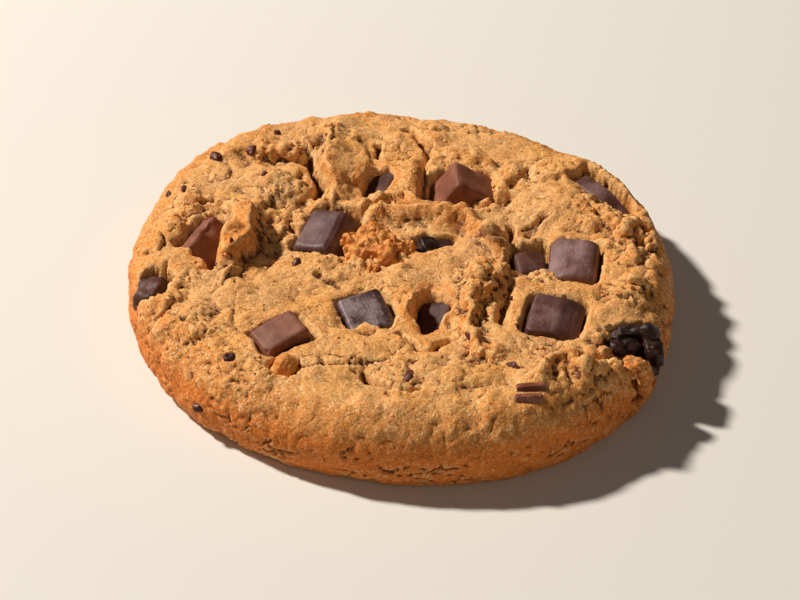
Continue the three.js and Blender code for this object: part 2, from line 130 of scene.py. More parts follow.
def scattered(points, spacing, seed):
    """Distances, in spacings, to the nearest and the second nearest scattered point."""
    scaled = [axis / spacing for axis in points]
    floors = [np.floor(axis) for axis in scaled]
    first = np.full(points[0].shape, FAR_OFF)
    second = first.copy()
    for step in itertools.product((-1, 0, 1), repeat=len(points)):
        cells = [floor + move for floor, move in zip(floors, step)]
        square = np.zeros(points[0].shape)
        for axis, (place, cell) in enumerate(zip(scaled, cells)):
            square += (cell + cell_value(cells, seed + axis) - place) ** 2
        distance = np.sqrt(square)
        second = np.minimum(second, np.maximum(first, distance))
        first = np.minimum(first, distance)
    return first, second


print("nearest and next point:", scattered([np.array([0.3]), np.array([0.7])], 1.0, 1))


# %% Eased steps and stirred space
def ramp(value, low, high):
    """Zero up to low, one from high on, eased in between."""
    share = np.clip((value - low) / (high - low), 0, 1)
    return share * share * (3 - 2 * share)


def stirred(axes, bends):
    """Bends space a little before a pattern is read, so that no form keeps a drawn outline."""
    moved = list(axes)
    for spacing, reach, seed in bends:
        moved = [m + reach * swell(axes, spacing, seed + k) for k, m in enumerate(moved)]
    return moved


print("half way up a ramp:", ramp(np.array([0.5]), 0, 1))

# %% [markdown]
# ## The landscape of the top
# A baker shapes none of this by hand: dough piles up, folds over and cracks as it spreads. Here
# each of those forms is written down once by its place and size. Mounds are ovals, folds and
# each of those forms is written down once by its place and size. Mounds are ovals, low domes
# crowd the rim, folds and grooves follow a short line, and hollows are where the dough sank or
# tore away from a chunk. Plates and holes are ovals too, but with steep sides.

# %% Mounds: x, y, half length, half width, turn, height
MOUNDS = (
    (-20.5, 18.2, 7.5, 7, 0, 1.5),
    (-28.3, 0.8, 3, 2.4, 90, 1.6),
    (-8, 32.4, 3, 2.4, 20, 1.1),
    (1.5, 20.5, 5.4, 3.8, 90, 1.6),
    (18.7, 20.2, 5, 2.2, 65, 1.7),
    (26, 12, 9.5, 9, 0, 2.1),
    (31.7, 5.8, 3, 2.6, 0, 1.3),
    (36.5, 3, 5.5, 3, 80, 0.8),
    (13.8, -9, 6.6, 5.4, 80, 3.0),
    (3, -5, 6.5, 4.5, 10, 0.5),
    (1.4, -15.6, 3.6, 2, 90, 1.8),
    (-8.4, -21.4, 3.4, 2.4, -35, 0.9),
    (36, -14, 5, 4, 60, 0.9),
    (-26, -14, 9, 6, -20, 0.7),
    (-38, 8, 6, 3, 75, 0.9),
    (-9, -25, 9, 5, -15, 0.5),
    (9.5, -33, 8, 4, 0, 0.5),
    (-30, 27, 6, 3.4, 45, 0.6),
)
print("mounds:", len(MOUNDS))

# %% Domes on the rim: x, y, half length, half width, turn, height
RIM_LUMPS = (
    (37.4, 11.6, 2.6, 1.9, -50, 1.1),
    (40, 7.4, 2.4, 1.9, -60, 1.2),
    (41.6, 2.2, 2.8, 1.9, -80, 1.3),
    (42, -3.4, 2.4, 1.9, 85, 1.2),
    (41.2, -9, 2.6, 2, 80, 1.2),
    (38.2, 2.4, 2, 1.7, 20, 1.1),
    (37.4, -3.6, 2.2, 1.7, 60, 1.2),
    (37.6, -9.4, 2.3, 1.6, -30, 1.2),
    (35, 6.2, 2.1, 1.6, 10, 1.2),
    (33.6, 1, 1.8, 1.4, 0, 0.9),
    (-40.6, 1.6, 2.4, 1.8, 85, 1.2),
    (-39.4, -13.6, 2.6, 1.9, -60, 1.2),
    (-36.6, -18.6, 2.4, 1.9, -50, 1.3),
    (-35.8, 12.8, 2.6, 1.9, 60, 1.0),
    (-31, 20.4, 2.4, 1.8, 40, 0.9),
    (29.6, -31.6, 2.4, 1.6, 20, 1.2),
    (33.4, -29, 2.4, 1.5, 20, 1.1),
)
print("domes:", len(RIM_LUMPS))

# %% Hollows: x, y, half length, half width, turn, depth
HOLLOWS = (
    (5.4, -19.4, 3, 2.2, 0, 0.9),
    (18.7, -2.8, 4.4, 1.9, 84, 4.4),
    (21.6, -5.2, 3.6, 2.6, 20, 3),
    (17.4, 14.3, 2.8, 2.4, 40, 2.2),
    (-20.7, 4.2, 1.8, 1.4, 0, 2),
    (2.6, 0.6, 2.6, 1.6, 20, 2.4),
    (8.2, 3, 2.6, 1.5, 10, 2),
    (-34.8, 3.4, 5, 2.2, 58, 1),
    (5.6, 16.6, 5, 3, 65, 2.4),
    (12, 12.9, 4.6, 2.4, 10, 2),
    (-9, -18.2, 4, 2.4, -50, 0.9),
    (-21, 11.4, 4, 3, 0, 1),
    (33.2, 16.6, 6.4, 2, -52, 1.6),
    (30.5, -29, 3, 2, 10, 1.6),
    (2, 38.5, 18, 8, 0, 1.0),
    (22, 33, 13, 7, -38, 0.8),
    (-18, 36, 13, 7, 28, 0.8),
    (-20, 1.5, 3.8, 5.4, 0, 1.3),
    (14.5, -3.5, 2.6, 5, 10, 0.6),
    (-43.4, -9, 3.4, 3.6, 0, 1.5),
)
print("hollows:", len(HOLLOWS))

# %% Plates and holes with steep sides: x, y, half length, half width, turn, height
PLATES = (
    (-26.6, 2.2, 9, 3.9, 78, 2.8),
    (-9.4, 24, 8.5, 4.6, 78, 1.1),
    (2.5, 9.6, 6, 2.2, 4, 0.7),
)
HOLES = (
    (-4, 20.3, 4.2, 2.7, 82, 8.5),
    (5, -15, 5.2, 3.3, 84, 9),
    (34.2, -26, 3.4, 2.3, 20, 5.6),
    (37.6, -22.8, 2.6, 2, 0, 4),
    (17.8, -3.2, 3, 1.7, 84, 4),
    (2.6, 0.4, 2.4, 1.3, 20, 2.2),
    (15.9, 14.2, 1.8, 1.4, 40, 1.6),
)
# The share of its half width at which a plate or a hole is still level.
PLATE_EDGE = 0.62
HOLE_EDGE = 0.66
print("plates and holes:", len(PLATES), len(HOLES))

# %% Folds: crest line, width to its left and right, height
FOLDS = (
    (((-22.6, 10.5), (-24, 4.5), (-25.6, -2), (-27.4, -7.5)), 1.6, 5, 1.7),
    (((-24.7, 26), (-18, 27.6), (-15.3, 32)), 2.2, 2.6, 1.5),
    (((-13, 32.7), (-12.3, 24), (-11.3, 13)), 4, 1.6, 1.9),
    (((-4, 13.7), (0, 15.4), (4.7, 13.4)), 1.9, 1.9, 1.3),
    (((-8, 9.8), (3, 9.8), (10.7, 8.9), (14, 4.8), (18, -0.6)), 2.6, 3.8, 2.0),
    (((7.6, 27.6), (11.5, 25.8), (15.5, 23.6)), 1.8, 1.5, 1.5),
    (((24.7, 19.3), (28.7, 20.6), (32, 15.3)), 2, 1.6, 1.1),
    (((10.7, -13), (11, -18), (10.5, -23)), 2.0, 1.7, 1.7),
    (((10.7, -24.6), (14.2, -27.8)), 1.9, 1.5, 1.2),
    (((20.6, -34), (25.7, -28.4), (28.2, -31.4)), 1.8, 2.4, 1.6),
    (((-35.5, -20.4), (-32, -23.4)), 2, 1.2, 0.7),
    (((31.2, 24.4), (36.6, 18.8), (40.4, 11.2)), 2, 1.6, 1.1),
    (((28, -31.5), (33, -31.5), (37, -28.5)), 2, 1.6, 1.2),
)
print("folds:", len(FOLDS))

# %% Grooves: line, half width, depth
GROOVES = (
    (((-16.7, 33.5), (-17, 28.2), (-14.7, 22.2), (-13.9, 18.9), (-14.9, 15.6)), 1.2, 3.2),
    (((-4, 30.3), (-3.3, 26.6)), 0.8, 2),
    (((1.3, 35.8), (4, 31.9), (4.7, 26.9), (4.8, 22.6), (4.8, 17.6)), 1.0, 2.8),
    (((21.9, 19.4), (22.5, 23.8)), 1.0, 2.2),
    (((18.3, 2.6), (18.9, 6.4)), 1.0, 2.2),
    (((17.4, -9.6), (16.4, -14), (15.8, -18)), 1.7, 2.2),
    (((0, -21.8), (3.3, -26.4), (5.2, -26.6), (9, -22.8)), 0.9, 2.1),
    (((-24.7, -3), (-22.3, -4), (-20, -2.7), (-17.2, -2.2)), 1.0, 2.8),
    (((-13.2, -7.2), (-10.4, -9.2)), 0.9, 1.2),
    (((-20, -31), (-16, -30.4), (-8, -29.8), (-1.3, -29)), 0.6, 0.6),
    (((-5.4, -32.4), (-2.6, -34.9), (-0.2, -36.2), (2.6, -36.9)), 1.0, 2.0),
    (((-32.5, 12.8), (-28.6, 12)), 1.0, 1.8),
    (((-37.2, -5), (-38.4, -8), (-37.6, -11.5)), 1.1, 2.2),
    (((24.6, 8.2), (21.6, 5.4)), 1.4, 1.2),
    (((-29, 5.6), (-30.4, 0), (-30.6, -5)), 1.6, 3.6),
)
print("grooves:", len(GROOVES))


# %% The outline, a soft bell and the share of an oval
def outline_radius(angle):
    radius = np.full(np.shape(angle), MEAN_RADIUS)
    for waves, sine, cosine in OUTLINE_SWELLS:
        radius = radius + sine * np.sin(waves * angle) + cosine * np.cos(waves * angle)
    return radius


def bell(share):
    """One in the middle, zero from share 1 on."""
    rest = np.maximum(0, 1 - share * share)
    return rest * rest


def oval_share(x, y, oval):
    """How far a place is from an oval's middle: one on its edge."""
    turn = math.radians(oval[4])
    dx = x - oval[0]
    dy = y - oval[1]
    along = dx * math.cos(turn) + dy * math.sin(turn)
    across = dy * math.cos(turn) - dx * math.sin(turn)
    return np.hypot(along / oval[2], across / oval[3])


print("radius to the right:", outline_radius(0.0), "mm")


# %% Distance to a line
LINE_START = 1e9


def line_distance(x, y, line):
    """Distance to a line of points, and on which side of it a place lies."""
    best = np.full(np.shape(x), LINE_START)
    side = np.zeros(np.shape(x))
    for (ax, ay), (bx, by) in zip(line, line[1:]):
        reach = (bx - ax) ** 2 + (by - ay) ** 2
        share = np.clip(((x - ax) * (bx - ax) + (y - ay) * (by - ay)) / reach, 0, 1)
        away = np.hypot(x - ax - share * (bx - ax), y - ay - share * (by - ay))
        turn = (bx - ax) * (y - ay) - (by - ay) * (x - ax)
        side = np.where(away < best, turn, side)
        best = np.minimum(best, away)
    return best, side


print("a place beside a line:", line_distance(np.array([1.0]), np.array([1.0]), ((0, 0), (3, 0))))

# %% Height of the top at any place
BENDS = ((3.4, 0.8, 41), (1.5, 0.4, 43))
TOP_GRAINS = ((5.5, 0.5, 11), (2.7, 0.42, 23))
FOLD_GAIN = 1.3
CREST_ROUNDING = 0.02
CREST_POWER = 1.3


def crest(share):
    """A sharper bell, for a fold with an edge."""
    return np.maximum(0, 1 - np.sqrt(share * share + CREST_ROUNDING)) ** CREST_POWER


def shoulder_height(inset):
    """Height of the even shoulder at a distance inside the outline."""
    share = np.clip(inset / SHOULDER_DEPTH, 0, 1)
    rise = np.sqrt(1 - (1 - share) ** SHOULDER_POWER)
    return WIDEST_HEIGHT + (TOP_HEIGHT - WIDEST_HEIGHT) * rise


def top_height(x, y):
    radius = np.hypot(x, y)
    rim = outline_radius(np.arctan2(y, x))
    height = shoulder_height(rim - radius)
    height = height - MIDDLE_DISH * (1 - ramp(radius / rim, DISH_END, DISH_START))
    bx, by = stirred([x, y], BENDS)
    for mound in MOUNDS:
        height = height + mound[5] * bell(oval_share(bx, by, mound))
    for lump in RIM_LUMPS:
        dome = np.sqrt(np.maximum(0, 1 - oval_share(bx, by, lump) ** 2))
        height = height + lump[5] * dome
    for line, left, right, rise in FOLDS:
        away, side = line_distance(bx, by, line)
        height = height + FOLD_GAIN * rise * crest(away / np.where(side > 0, left, right))
    for line, width, depth in GROOVES:
        away, _ = line_distance(bx, by, line)
        height = height - depth * bell(away / width)
    for plate in PLATES:
        height = height + plate[5] * (1 - ramp(oval_share(bx, by, plate), PLATE_EDGE, 1))
    for hollow in HOLLOWS:
        height = height - hollow[5] * bell(oval_share(bx, by, hollow))
    for hole in HOLES:
        height = height - hole[5] * (1 - ramp(oval_share(bx, by, hole), HOLE_EDGE, 1))
    for spacing, rise, seed in TOP_GRAINS:
        height = height + rise * swell([x, y], spacing, seed)
    return height


print("height in the middle:", top_height(np.array([0.0]), np.array([0.0])))


# %% How far the side stands in from the outline
def side_inset(height):
    over = np.clip((height - WIDEST_HEIGHT) / (TOP_HEIGHT - WIDEST_HEIGHT), 0, 1)
    under = np.clip(1 - height / WIDEST_HEIGHT, 0, 1)
    above = SHOULDER_DEPTH * (1 - (1 - over * over) ** (1 / SHOULDER_POWER))
    return np.where(height >= WIDEST_HEIGHT, above, HEEL_INSET * under**HEEL_POWER)


print("inset at the foot:", side_inset(0.0), "mm")

# %% [markdown]
# ## Chocolate blocks
# The chunks are moulded blocks with softened edges that tipped over as the dough moved. Each
# starts as a cube cut into a fine grid. Its points are pulled onto a rounded block, worn and
# streaked a little, and turned into place. The table says how large each block is, how round its
# edges are, where it lies and leans, and how much its foot is wider than its head. Facets are
# flat cuts, each a direction and its distance from the middle. Dents are x, y, z, reach, depth.

# %% The blocks
BLOCKS = {
    "chunk_milk_back": dict(
        size=(8.2, 7.2, 8.2), soft=(0.9, 0.8, 0.9), draft=0.05, seed=101,
        at=(10.7, 18.3, 10.1), lean=(4, 2, 34),
    ),
    "chunk_dark_left": dict(
        size=(6.3, 8.6, 6), soft=(0.6, 0.7, 0.7), draft=0.5, seed=102,
        at=(-12.6, 5.1, 10.6), lean=(-21, 13, -13),
        facets=((0.6, 0, 0.8, 3.9),),
    ),
    "chunk_milk_left": dict(
        size=(5, 8.4, 6.5), soft=(0.6, 0.8, 0.7), draft=0.1, seed=103,
        at=(-32.1, 3.1, 10.5), lean=(148, -14, 42),
        dents=((-2.4, -1.5, 2.6, 1.7, 0.9), (2.2, 1.6, 3.2, 1.6, 1.1), (-2.2, 2.6, -2.6, 1.8, 1.0)),
    ),
    "chunk_dark_middle": dict(
        size=(7, 8, 5.4), soft=(0.5, 0.5, 0.5), draft=0.12, seed=104,
        at=(-5.1, -16.3, 10.3), lean=(22, 14, -10),
        facets=((0.68, 0, 0.73, 3.75),), dents=((1.2, -4, 2.4, 1.1, 1.2),),
    ),
    "chunk_milk_front": dict(
        size=(7.7, 5.9, 6), soft=(0.7, 0.7, 0.7), draft=0.2, seed=105,
        at=(-18.5, -23.1, 11.7), lean=(32, 4, -13),
        dents=((-3.8, -2.6, 2.8, 0.9, 0.5), (0.6, -3.2, 0.4, 1.6, 0.3)),
    ),
    "chunk_rounded_right": dict(
        size=(7.6, 9, 6), soft=(2.4, 0.7, 1.8), draft=0.1, seed=106,
        at=(28.4, -3.3, 11), lean=(-10, 12, -6),
        facets=((-0.42, 0, 0.91, 3.15),),
    ),
    "chunk_dark_right": dict(
        size=(7.7, 7.8, 6), soft=(1.2, 0.5, 0.9), draft=0.25, seed=107,
        at=(24.4, -18.2, 11.1), lean=(-14, 12, 5),
        facets=((0.5, 0, 0.87, 2.95), (-0.12, 0, 0.99, 2.9)), dents=((-0.6, -3.9, 1.6, 1.4, 0.4),),
    ),
    "chunk_milk_sunken": dict(
        size=(5, 5.4, 6.6), soft=(1, 1.2, 1.3), draft=0.3, seed=108,
        at=(21.4, -1.2, 8.6), lean=(12, 18, -8),
        facets=((0.5, 0.3, 0.8, 3.1),),
    ),
    "chunk_bar_rim": dict(
        size=(11, 3.4, 6), soft=(1.2, 0.6, 0.8), draft=0.15, seed=109,
        at=(34.4, 16.6, 9.4), lean=(-52, 8, 5),
        facets=((0.42, 0, 0.91, 2.9),),
    ),
    "chunk_hole_back": dict(
        size=(4.6, 8.6, 5), soft=(0.7, 0.8, 0.7), draft=0.2, seed=110,
        at=(-2.6, 20.2, 8.8), lean=(-14, 6, -22),
    ),
    "chunk_hole_front": dict(
        size=(5.4, 7.8, 5), soft=(0.8, 0.9, 0.8), draft=0.2, seed=112,
        at=(6.1, -14.6, 7.6), lean=(-8, 10, -16),
    ),
    "chunk_crumpled_rim": dict(
        size=(4.5, 5.3, 4.3), soft=(0.8, 0.9, 0.8), draft=0.2, seed=114,
        at=(-40.1, -8.6, 9.6), lean=(-18, 8, -22),
        crumple=0.9,
    ),
}
print("blocks:", len(BLOCKS))


# %% Helpers that move a mesh's points all at once
def points_of(mesh):
    """The places of a mesh's points, one row each."""
    flat = np.empty(3 * len(mesh.vertices))
    mesh.vertices.foreach_get("co", flat)
    return flat.reshape(-1, 3)


def set_points(mesh, points):
    mesh.vertices.foreach_set("co", points.astype(np.float32).ravel())
    mesh.update()


def set_shares(mesh, name, values):
    """Stores one number for each point, for a material to read."""
    layer = mesh.attributes.new(name, "FLOAT", "POINT")
    layer.data.foreach_set("value", np.asarray(values, np.float32))


def mesh_from(shape, name):
    mesh = bpy.data.meshes.new(name)
    bmesh.ops.recalc_face_normals(shape, faces=shape.faces[:])
    shape.to_mesh(mesh)
    shape.free()
    mesh.shade_smooth()
    return mesh


def directions(mesh):
    """Which way the skin faces at each point."""
    return np.array([tuple(n.vector) for n in mesh.vertex_normals])


def tree_of(mesh):
    """A search tree for rays and nearest points."""
    corners = [v.co for v in mesh.vertices]
    return BVHTree.FromPolygons(corners, [tuple(p.vertices) for p in mesh.polygons])


def leaning(lean):
    """The rotation of a block that turns, then tips, then rolls, each in degrees."""
    turn, tip, roll = (math.radians(angle) for angle in lean)
    turned = Matrix.Rotation(turn, 4, "Z") @ Matrix.Rotation(tip, 4, "X")
    return turned @ Matrix.Rotation(roll, 4, "Y")


# %% Hand a finished piece to the frame
def finish_piece(mesh, name, slot, *nodes):
    """Makes the object, in metres and centred on the outline, and hands it to the frame."""
    mesh.transform(Matrix.Scale(MM, 4) @ Matrix.Translation(OUTLINE_MIDDLE))
    piece = bpy.data.objects.new(name, mesh)
    bpy.context.scene.collection.objects.link(piece)
    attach(piece, "root")
    if nodes:
        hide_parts(*nodes)
    print(name, len(mesh.polygons), "faces")
    return piece


# %% Shape one block
BLOCK_CUTS = 17
BLOCK_CROWDING = 1.35
BLOCK_WEAR = ((3.2, 0.16), (1.1, 0.05))
STREAK_SCALE = (3, 0.25, 3)
STREAK_RISE = 0.035
CRUMPLE_SIZE = 1.9


def rounded_block(cube, block):
    """Pulls the points of a cube onto a block with soft edges, and says which way each faces."""
    cube = np.sign(cube) * (1 - (1 - np.minimum(np.abs(cube), 1)) ** BLOCK_CROWDING)
    half = np.array(block["size"]) / 2
    soft = np.array(block["soft"])
    core = np.clip(cube * half, soft - half, half - soft)
    spread = (cube * half - core) / soft
    outward = spread / np.linalg.norm(spread, axis=1, keepdims=True)
    place = core + soft * outward
    widen = 1 + block["draft"] * (0.5 - place[:, 2] / block["size"][2])
    place[:, :2] *= widen[:, None]
    for nx, ny, nz, reach in block.get("facets", ()):
        facet = np.array((nx, ny, nz)) / math.hypot(nx, ny, nz)
        over = np.maximum(0, place @ facet - reach)
        place -= over[:, None] * facet
    return place, outward


def block_wear(place, block):
    """How far each point of a block stands out or in where it is worn, streaked and dented."""
    wear = np.zeros(len(place))
    for spacing, rise in BLOCK_WEAR:
        wear += rise * swell(place.T, spacing, block["seed"])
    wear += STREAK_RISE * swell((place * STREAK_SCALE).T, 1.0, block["seed"] + 1)
    for x, y, z, reach, depth in block.get("dents", ()):
        near = np.linalg.norm(place - np.array((x, y, z)), axis=1) / reach
        wear -= depth * bell(near)
    if "crumple" in block:
        near, _ = scattered(list(place.T), CRUMPLE_SIZE, block["seed"])
        wear += block["crumple"] * (0.5 - near)
    return wear


def block_mesh(name, block):
    shape = bmesh.new()
    bmesh.ops.create_cube(shape, size=2)
    bmesh.ops.subdivide_edges(shape, edges=shape.edges[:], cuts=BLOCK_CUTS, use_grid_fill=True)
    mesh = mesh_from(shape, name)
    place, outward = rounded_block(points_of(mesh), block)
    place += outward * block_wear(place, block)[:, None]
    turned = np.array(leaning(block["lean"]).to_3x3())
    set_points(mesh, place @ turned.T + np.array(block["at"]))
    set_shares(mesh, "edge", 1 - np.max(np.abs(outward), axis=1))
    set_shares(mesh, "along", place[:, 1])
    set_shares(mesh, "across", place[:, 0])
    return mesh


block_meshes = {name: block_mesh(name, block) for name, block in BLOCKS.items()}
print("points of each block:", {len(mesh.vertices) for mesh in block_meshes.values()})

# %% [markdown]
# ## Melted lumps and browned nuggets
# Some dark chocolate melted and set again in glossy rounded lumps, and two nuggets of dough
# broke off and browned on the top. Balls and blocks that overlap are merged into one skin by a
# voxel remesh, as a sculptor would merge clay, and then roughened. Each ball has a middle and
# three half sizes, and each block a lean too. Coarse, fine and granules are sizes and heights.

# %% The lumps and nuggets
LUMPS = {
    "chunk_glossy_middle": dict(
        balls=(((4.6, 2.4, 10.8), (2.1, 1.8, 1.6)), ((8.2, 3.2, 10.2), (1.2, 0.9, 0.9))),
        blocks=(
            ((4.4, 2.7, 10.9), (1.4, 1.3, 1.3), (20, 15, 20)),
            ((6.8, 2.9, 10.6), (1.8, 1.1, 0.9), (12, 10, 0)),
        ),
        voxel=0.16, coarse=(1.5, 0.2), fine=(0.5, 0.03), seed=111,
    ),
    "chunk_glossy_rim": dict(
        balls=(
            ((39, -20.6, 11.3), (2, 1.8, 1.8)),
            ((37.2, -24.2, 7.2), (3, 2.4, 1.8)),
            ((33.7, -23.5, 10.8), (1.6, 1.3, 1.1)),
            ((36.1, -23, 11), (1.7, 1.1, 1)),
            ((34.9, -20.7, 10.8), (2, 1.3, 1.5)),
            ((39.9, -23.6, 9.6), (1.4, 1.9, 2)),
            ((34.6, -25.4, 7.9), (2, 1.6, 1.3)),
        ),
        blocks=(
            ((36.8, -20.6, 11.4), (2.4, 1, 1.2), (4, 10, -6)),
            ((39.3, -22.6, 8.9), (1.4, 2.4, 2.5), (10, 8, 8)),
        ),
        voxel=0.18, coarse=(1.5, 0.5), fine=(0.6, 0.1), seed=113,
    ),
    "nugget_browned": dict(
        balls=(
            ((-5.4, 0.3, 12.9), (3.4, 3, 2.1)),
            ((-2.6, 0.9, 12.9), (2.8, 2.6, 2)),
            ((-4.4, -4.4, 12.2), (1, 1.1, 1.2)),
            ((-1.2, -3, 12), (1.3, 1, 1)),
            ((-8, -0.6, 12.6), (1.3, 1.5, 1.2)),
        ),
        blocks=(
            ((0.6, 0.5, 12.3), (2.2, 1.1, 0.9), (-8, 14, 30)),
            ((-4.2, 2.2, 13.4), (2.2, 1.4, 1.4), (20, 20, 0)),
            ((-7.2, 0.8, 13.2), (1.7, 1.5, 1.3), (30, 14, 12)),
            ((-3.4, -1.6, 13.4), (1.9, 1.2, 1.2), (-24, 18, -10)),
        ),
        voxel=0.18, coarse=(2.2, 0.8), fine=(0.9, 0.4), seed=121, granules=((1.8, 0.6), (0.8, 0.4)),
    ),
    "nugget_bead": dict(
        balls=(((-17.6, -30, 12.6), (1.9, 2, 2)), ((-18.9, -30.6, 11.9), (1, 1.2, 1))),
        blocks=(),
        voxel=0.16, coarse=(1.8, 0.3), fine=(0.6, 0.08), seed=122, granules=((1.6, 0.4), (0.8, 0.2)),
    ),
}
print("lumps:", len(LUMPS))

# %% Merge the balls and blocks of a lump
SOFTEN_TIMES = 4


def remeshed(mesh, voxel):
    """One closed skin round all the shapes of a mesh that overlap."""
    holder = bpy.data.objects.new(mesh.name + "_raw", mesh)
    bpy.context.scene.collection.objects.link(holder)
    remesh = holder.modifiers.new("merge", "REMESH")
    remesh.mode = "VOXEL"
    remesh.voxel_size = voxel
    remesh.use_smooth_shade = True
    smooth = holder.modifiers.new("soften", "SMOOTH")
    smooth.iterations = SOFTEN_TIMES
    graph = bpy.context.evaluated_depsgraph_get()
    merged = bpy.data.meshes.new_from_object(holder.evaluated_get(graph))
    bpy.data.objects.remove(holder)
    return merged


# %% Shape one lump
BALL_DIVISIONS = 4
LUMP_BENDS = ((1.6, 0.5, 90),)
LUMP_LEVEL = 0.4


def lump_mesh(name, lump):
    shape = bmesh.new()
    for middle, half in lump["balls"]:
        placed = Matrix.Translation(middle) @ Matrix.Diagonal((*half, 1))
        bmesh.ops.create_icosphere(shape, subdivisions=BALL_DIVISIONS, radius=1, matrix=placed)
    for middle, half, lean in lump["blocks"]:
        placed = Matrix.Translation(middle) @ leaning(lean) @ Matrix.Diagonal((*half, 1))
        bmesh.ops.create_cube(shape, size=2, matrix=placed)
    merged = remeshed(mesh_from(shape, name), lump["voxel"])
    merged.name = name
    points = points_of(merged)
    normals = directions(merged)
    rise = np.zeros(len(points))
    for spacing, height in (lump["coarse"], lump["fine"]):
        rise += height * swell(points.T, spacing, lump["seed"])
    for spacing, height in lump.get("granules", ()):
        near, _ = scattered(stirred(points.T, LUMP_BENDS), spacing, lump["seed"])
        rise += height * (LUMP_LEVEL - near**2)
    set_points(merged, points + normals * rise[:, None])
    return merged


lump_meshes = {name: lump_mesh(name, lump) for name, lump in LUMPS.items()}
print({name: len(mesh.vertices) for name, mesh in lump_meshes.items()})

# %% [markdown]
# ## The dough
# The skin starts as a six-sided fan of triangles, cut so finely that each is a third of a
# millimetre. It is stretched onto the outline, and its edge is extruded down the side and in
# across the underside to a point, so the body is closed. Every point of the top then takes the
# height of the landscape above. Where a chunk stands, the dough is pressed down under it.

# %% A closed disc of fine triangles
TOP_RINGS = 140
SIDE_RINGS = 26
BASE_RINGS = 9
SPOKES = 6
CORNER_TURN = math.radians(30)


def dough_shape():
    """A fan with a corner along x, then a side and a base. Each point keeps its row: 0 on top."""
    shape = bmesh.new()
    row = shape.verts.layers.float.new("row")
    turned = Matrix.Rotation(CORNER_TURN, 4, "Z")
    bmesh.ops.create_circle(
        shape, cap_ends=True, cap_tris=True, segments=SPOKES, radius=1, matrix=turned
    )
    bmesh.ops.subdivide_edges(shape, edges=shape.edges[:], cuts=TOP_RINGS - 1, use_grid_fill=True)
    edge = [e for e in shape.edges if e.is_boundary]
    for step in range(1, SIDE_RINGS + BASE_RINGS + 1):
        made = bmesh.ops.extrude_edge_only(shape, edges=edge)["geom"]
        edge = [g for g in made if isinstance(g, bmesh.types.BMEdge) and g.is_boundary]
        ring = [g for g in made if isinstance(g, bmesh.types.BMVert)]
        for vert in ring:
            vert[row] = step
    bmesh.ops.pointmerge(shape, verts=ring, merge_co=(0, 0, 0))
    bmesh.ops.triangulate(shape, faces=shape.faces[:])
    return shape


dough_mesh = mesh_from(dough_shape(), "dough_skin")
fan = points_of(dough_mesh)
row = np.empty(len(fan), np.float32)
dough_mesh.attributes["row"].data.foreach_get("value", row)
print("dough skin:", len(fan), "points,", len(dough_mesh.polygons), "triangles")


# %% Spread the fan into even rings
TINY = 1e-9


def fan_to_round(fan):
    """Ring share and angle of each point of the six-sided fan, evenly spaced round each ring."""
    sector_angle = 2 * math.pi / SPOKES
    angle = np.mod(np.arctan2(fan[:, 1], fan[:, 0]), 2 * math.pi)
    sector = np.minimum(np.floor(angle / sector_angle), SPOKES - 1)
    turn = angle - sector * sector_angle
    length = np.hypot(fan[:, 0], fan[:, 1])
    second = length * np.sin(turn) / math.sin(sector_angle)
    first = length * np.cos(turn) - second * math.cos(sector_angle)
    ring = first + second
    share = np.where(ring > TINY, second / np.maximum(ring, TINY), 0)
    return ring, (sector + share) * sector_angle


ring_share, angle = fan_to_round(fan)
rim = outline_radius(angle)
on_top = row < 0.5
on_base = row > SIDE_RINGS + 0.5
down = np.clip(row / SIDE_RINGS, 0, 1)
inward = np.clip((row - SIDE_RINGS) / BASE_RINGS, 0, 1)
print("points on the top and the base:", on_top.sum(), on_base.sum())

# %% Stretch the rings onto the outline, the side and the base
SIDE_GRAIN = (4.2, 0.3, 37)
SIDE_GRAIN_START = 0.2
edge_x = (rim - TOP_EDGE_INSET) * np.cos(angle)
edge_y = (rim - TOP_EDGE_INSET) * np.sin(angle)
edge_height = top_height(edge_x, edge_y)
even_height = shoulder_height(TOP_EDGE_INSET) * (1 - down)
slant = [MEAN_RADIUS * np.cos(angle) + even_height, MEAN_RADIUS * np.sin(angle) + even_height]
rough = SIDE_GRAIN[1] * swell(slant, SIDE_GRAIN[0], SIDE_GRAIN[2])
side_radius = rim - side_inset(even_height) + rough * ramp(down, 0, SIDE_GRAIN_START)
radius = np.where(on_top, (rim - TOP_EDGE_INSET) * ring_share, side_radius * (1 - inward))
x = radius * np.cos(angle)
y = radius * np.sin(angle)
z = np.where(on_top, top_height(x, y), edge_height * (1 - down))
z = np.where(on_base, 0.0, z)
skin = np.stack([x, y, z], 1)
print("top spacing:", round(MEAN_RADIUS / TOP_RINGS, 2), "mm")

# %% [markdown]
# ## Seats for the chunks
# Dough creeps up round a chunk and sinks a little beside it, so each chunk shows its sides above
# a narrow dark gap. Each seat is found from the chunk itself: rays say where it covers the dough,
# and its upper edge says how high the dough beside it may stand. The change is then evened out
# over a few neighbours, so that the walls of the seat are slopes of dough and not steps.

# %% Even a value out over the neighbours of each point
EVEN_SHARE = 0.5
links = np.empty(2 * len(dough_mesh.edges), np.int64)
dough_mesh.edges.foreach_get("vertices", links)
links = links.reshape(-1, 2)
neighbours = np.bincount(links.ravel(), minlength=len(skin))


def evened(values, times):
    for _ in range(times):
        sums = np.bincount(links[:, 0], values[links[:, 1]], len(skin))
        sums += np.bincount(links[:, 1], values[links[:, 0]], len(skin))
        values = (1 - EVEN_SHARE) * values + EVEN_SHARE * sums / neighbours
    return values


print("most neighbours of a point:", neighbours.max())

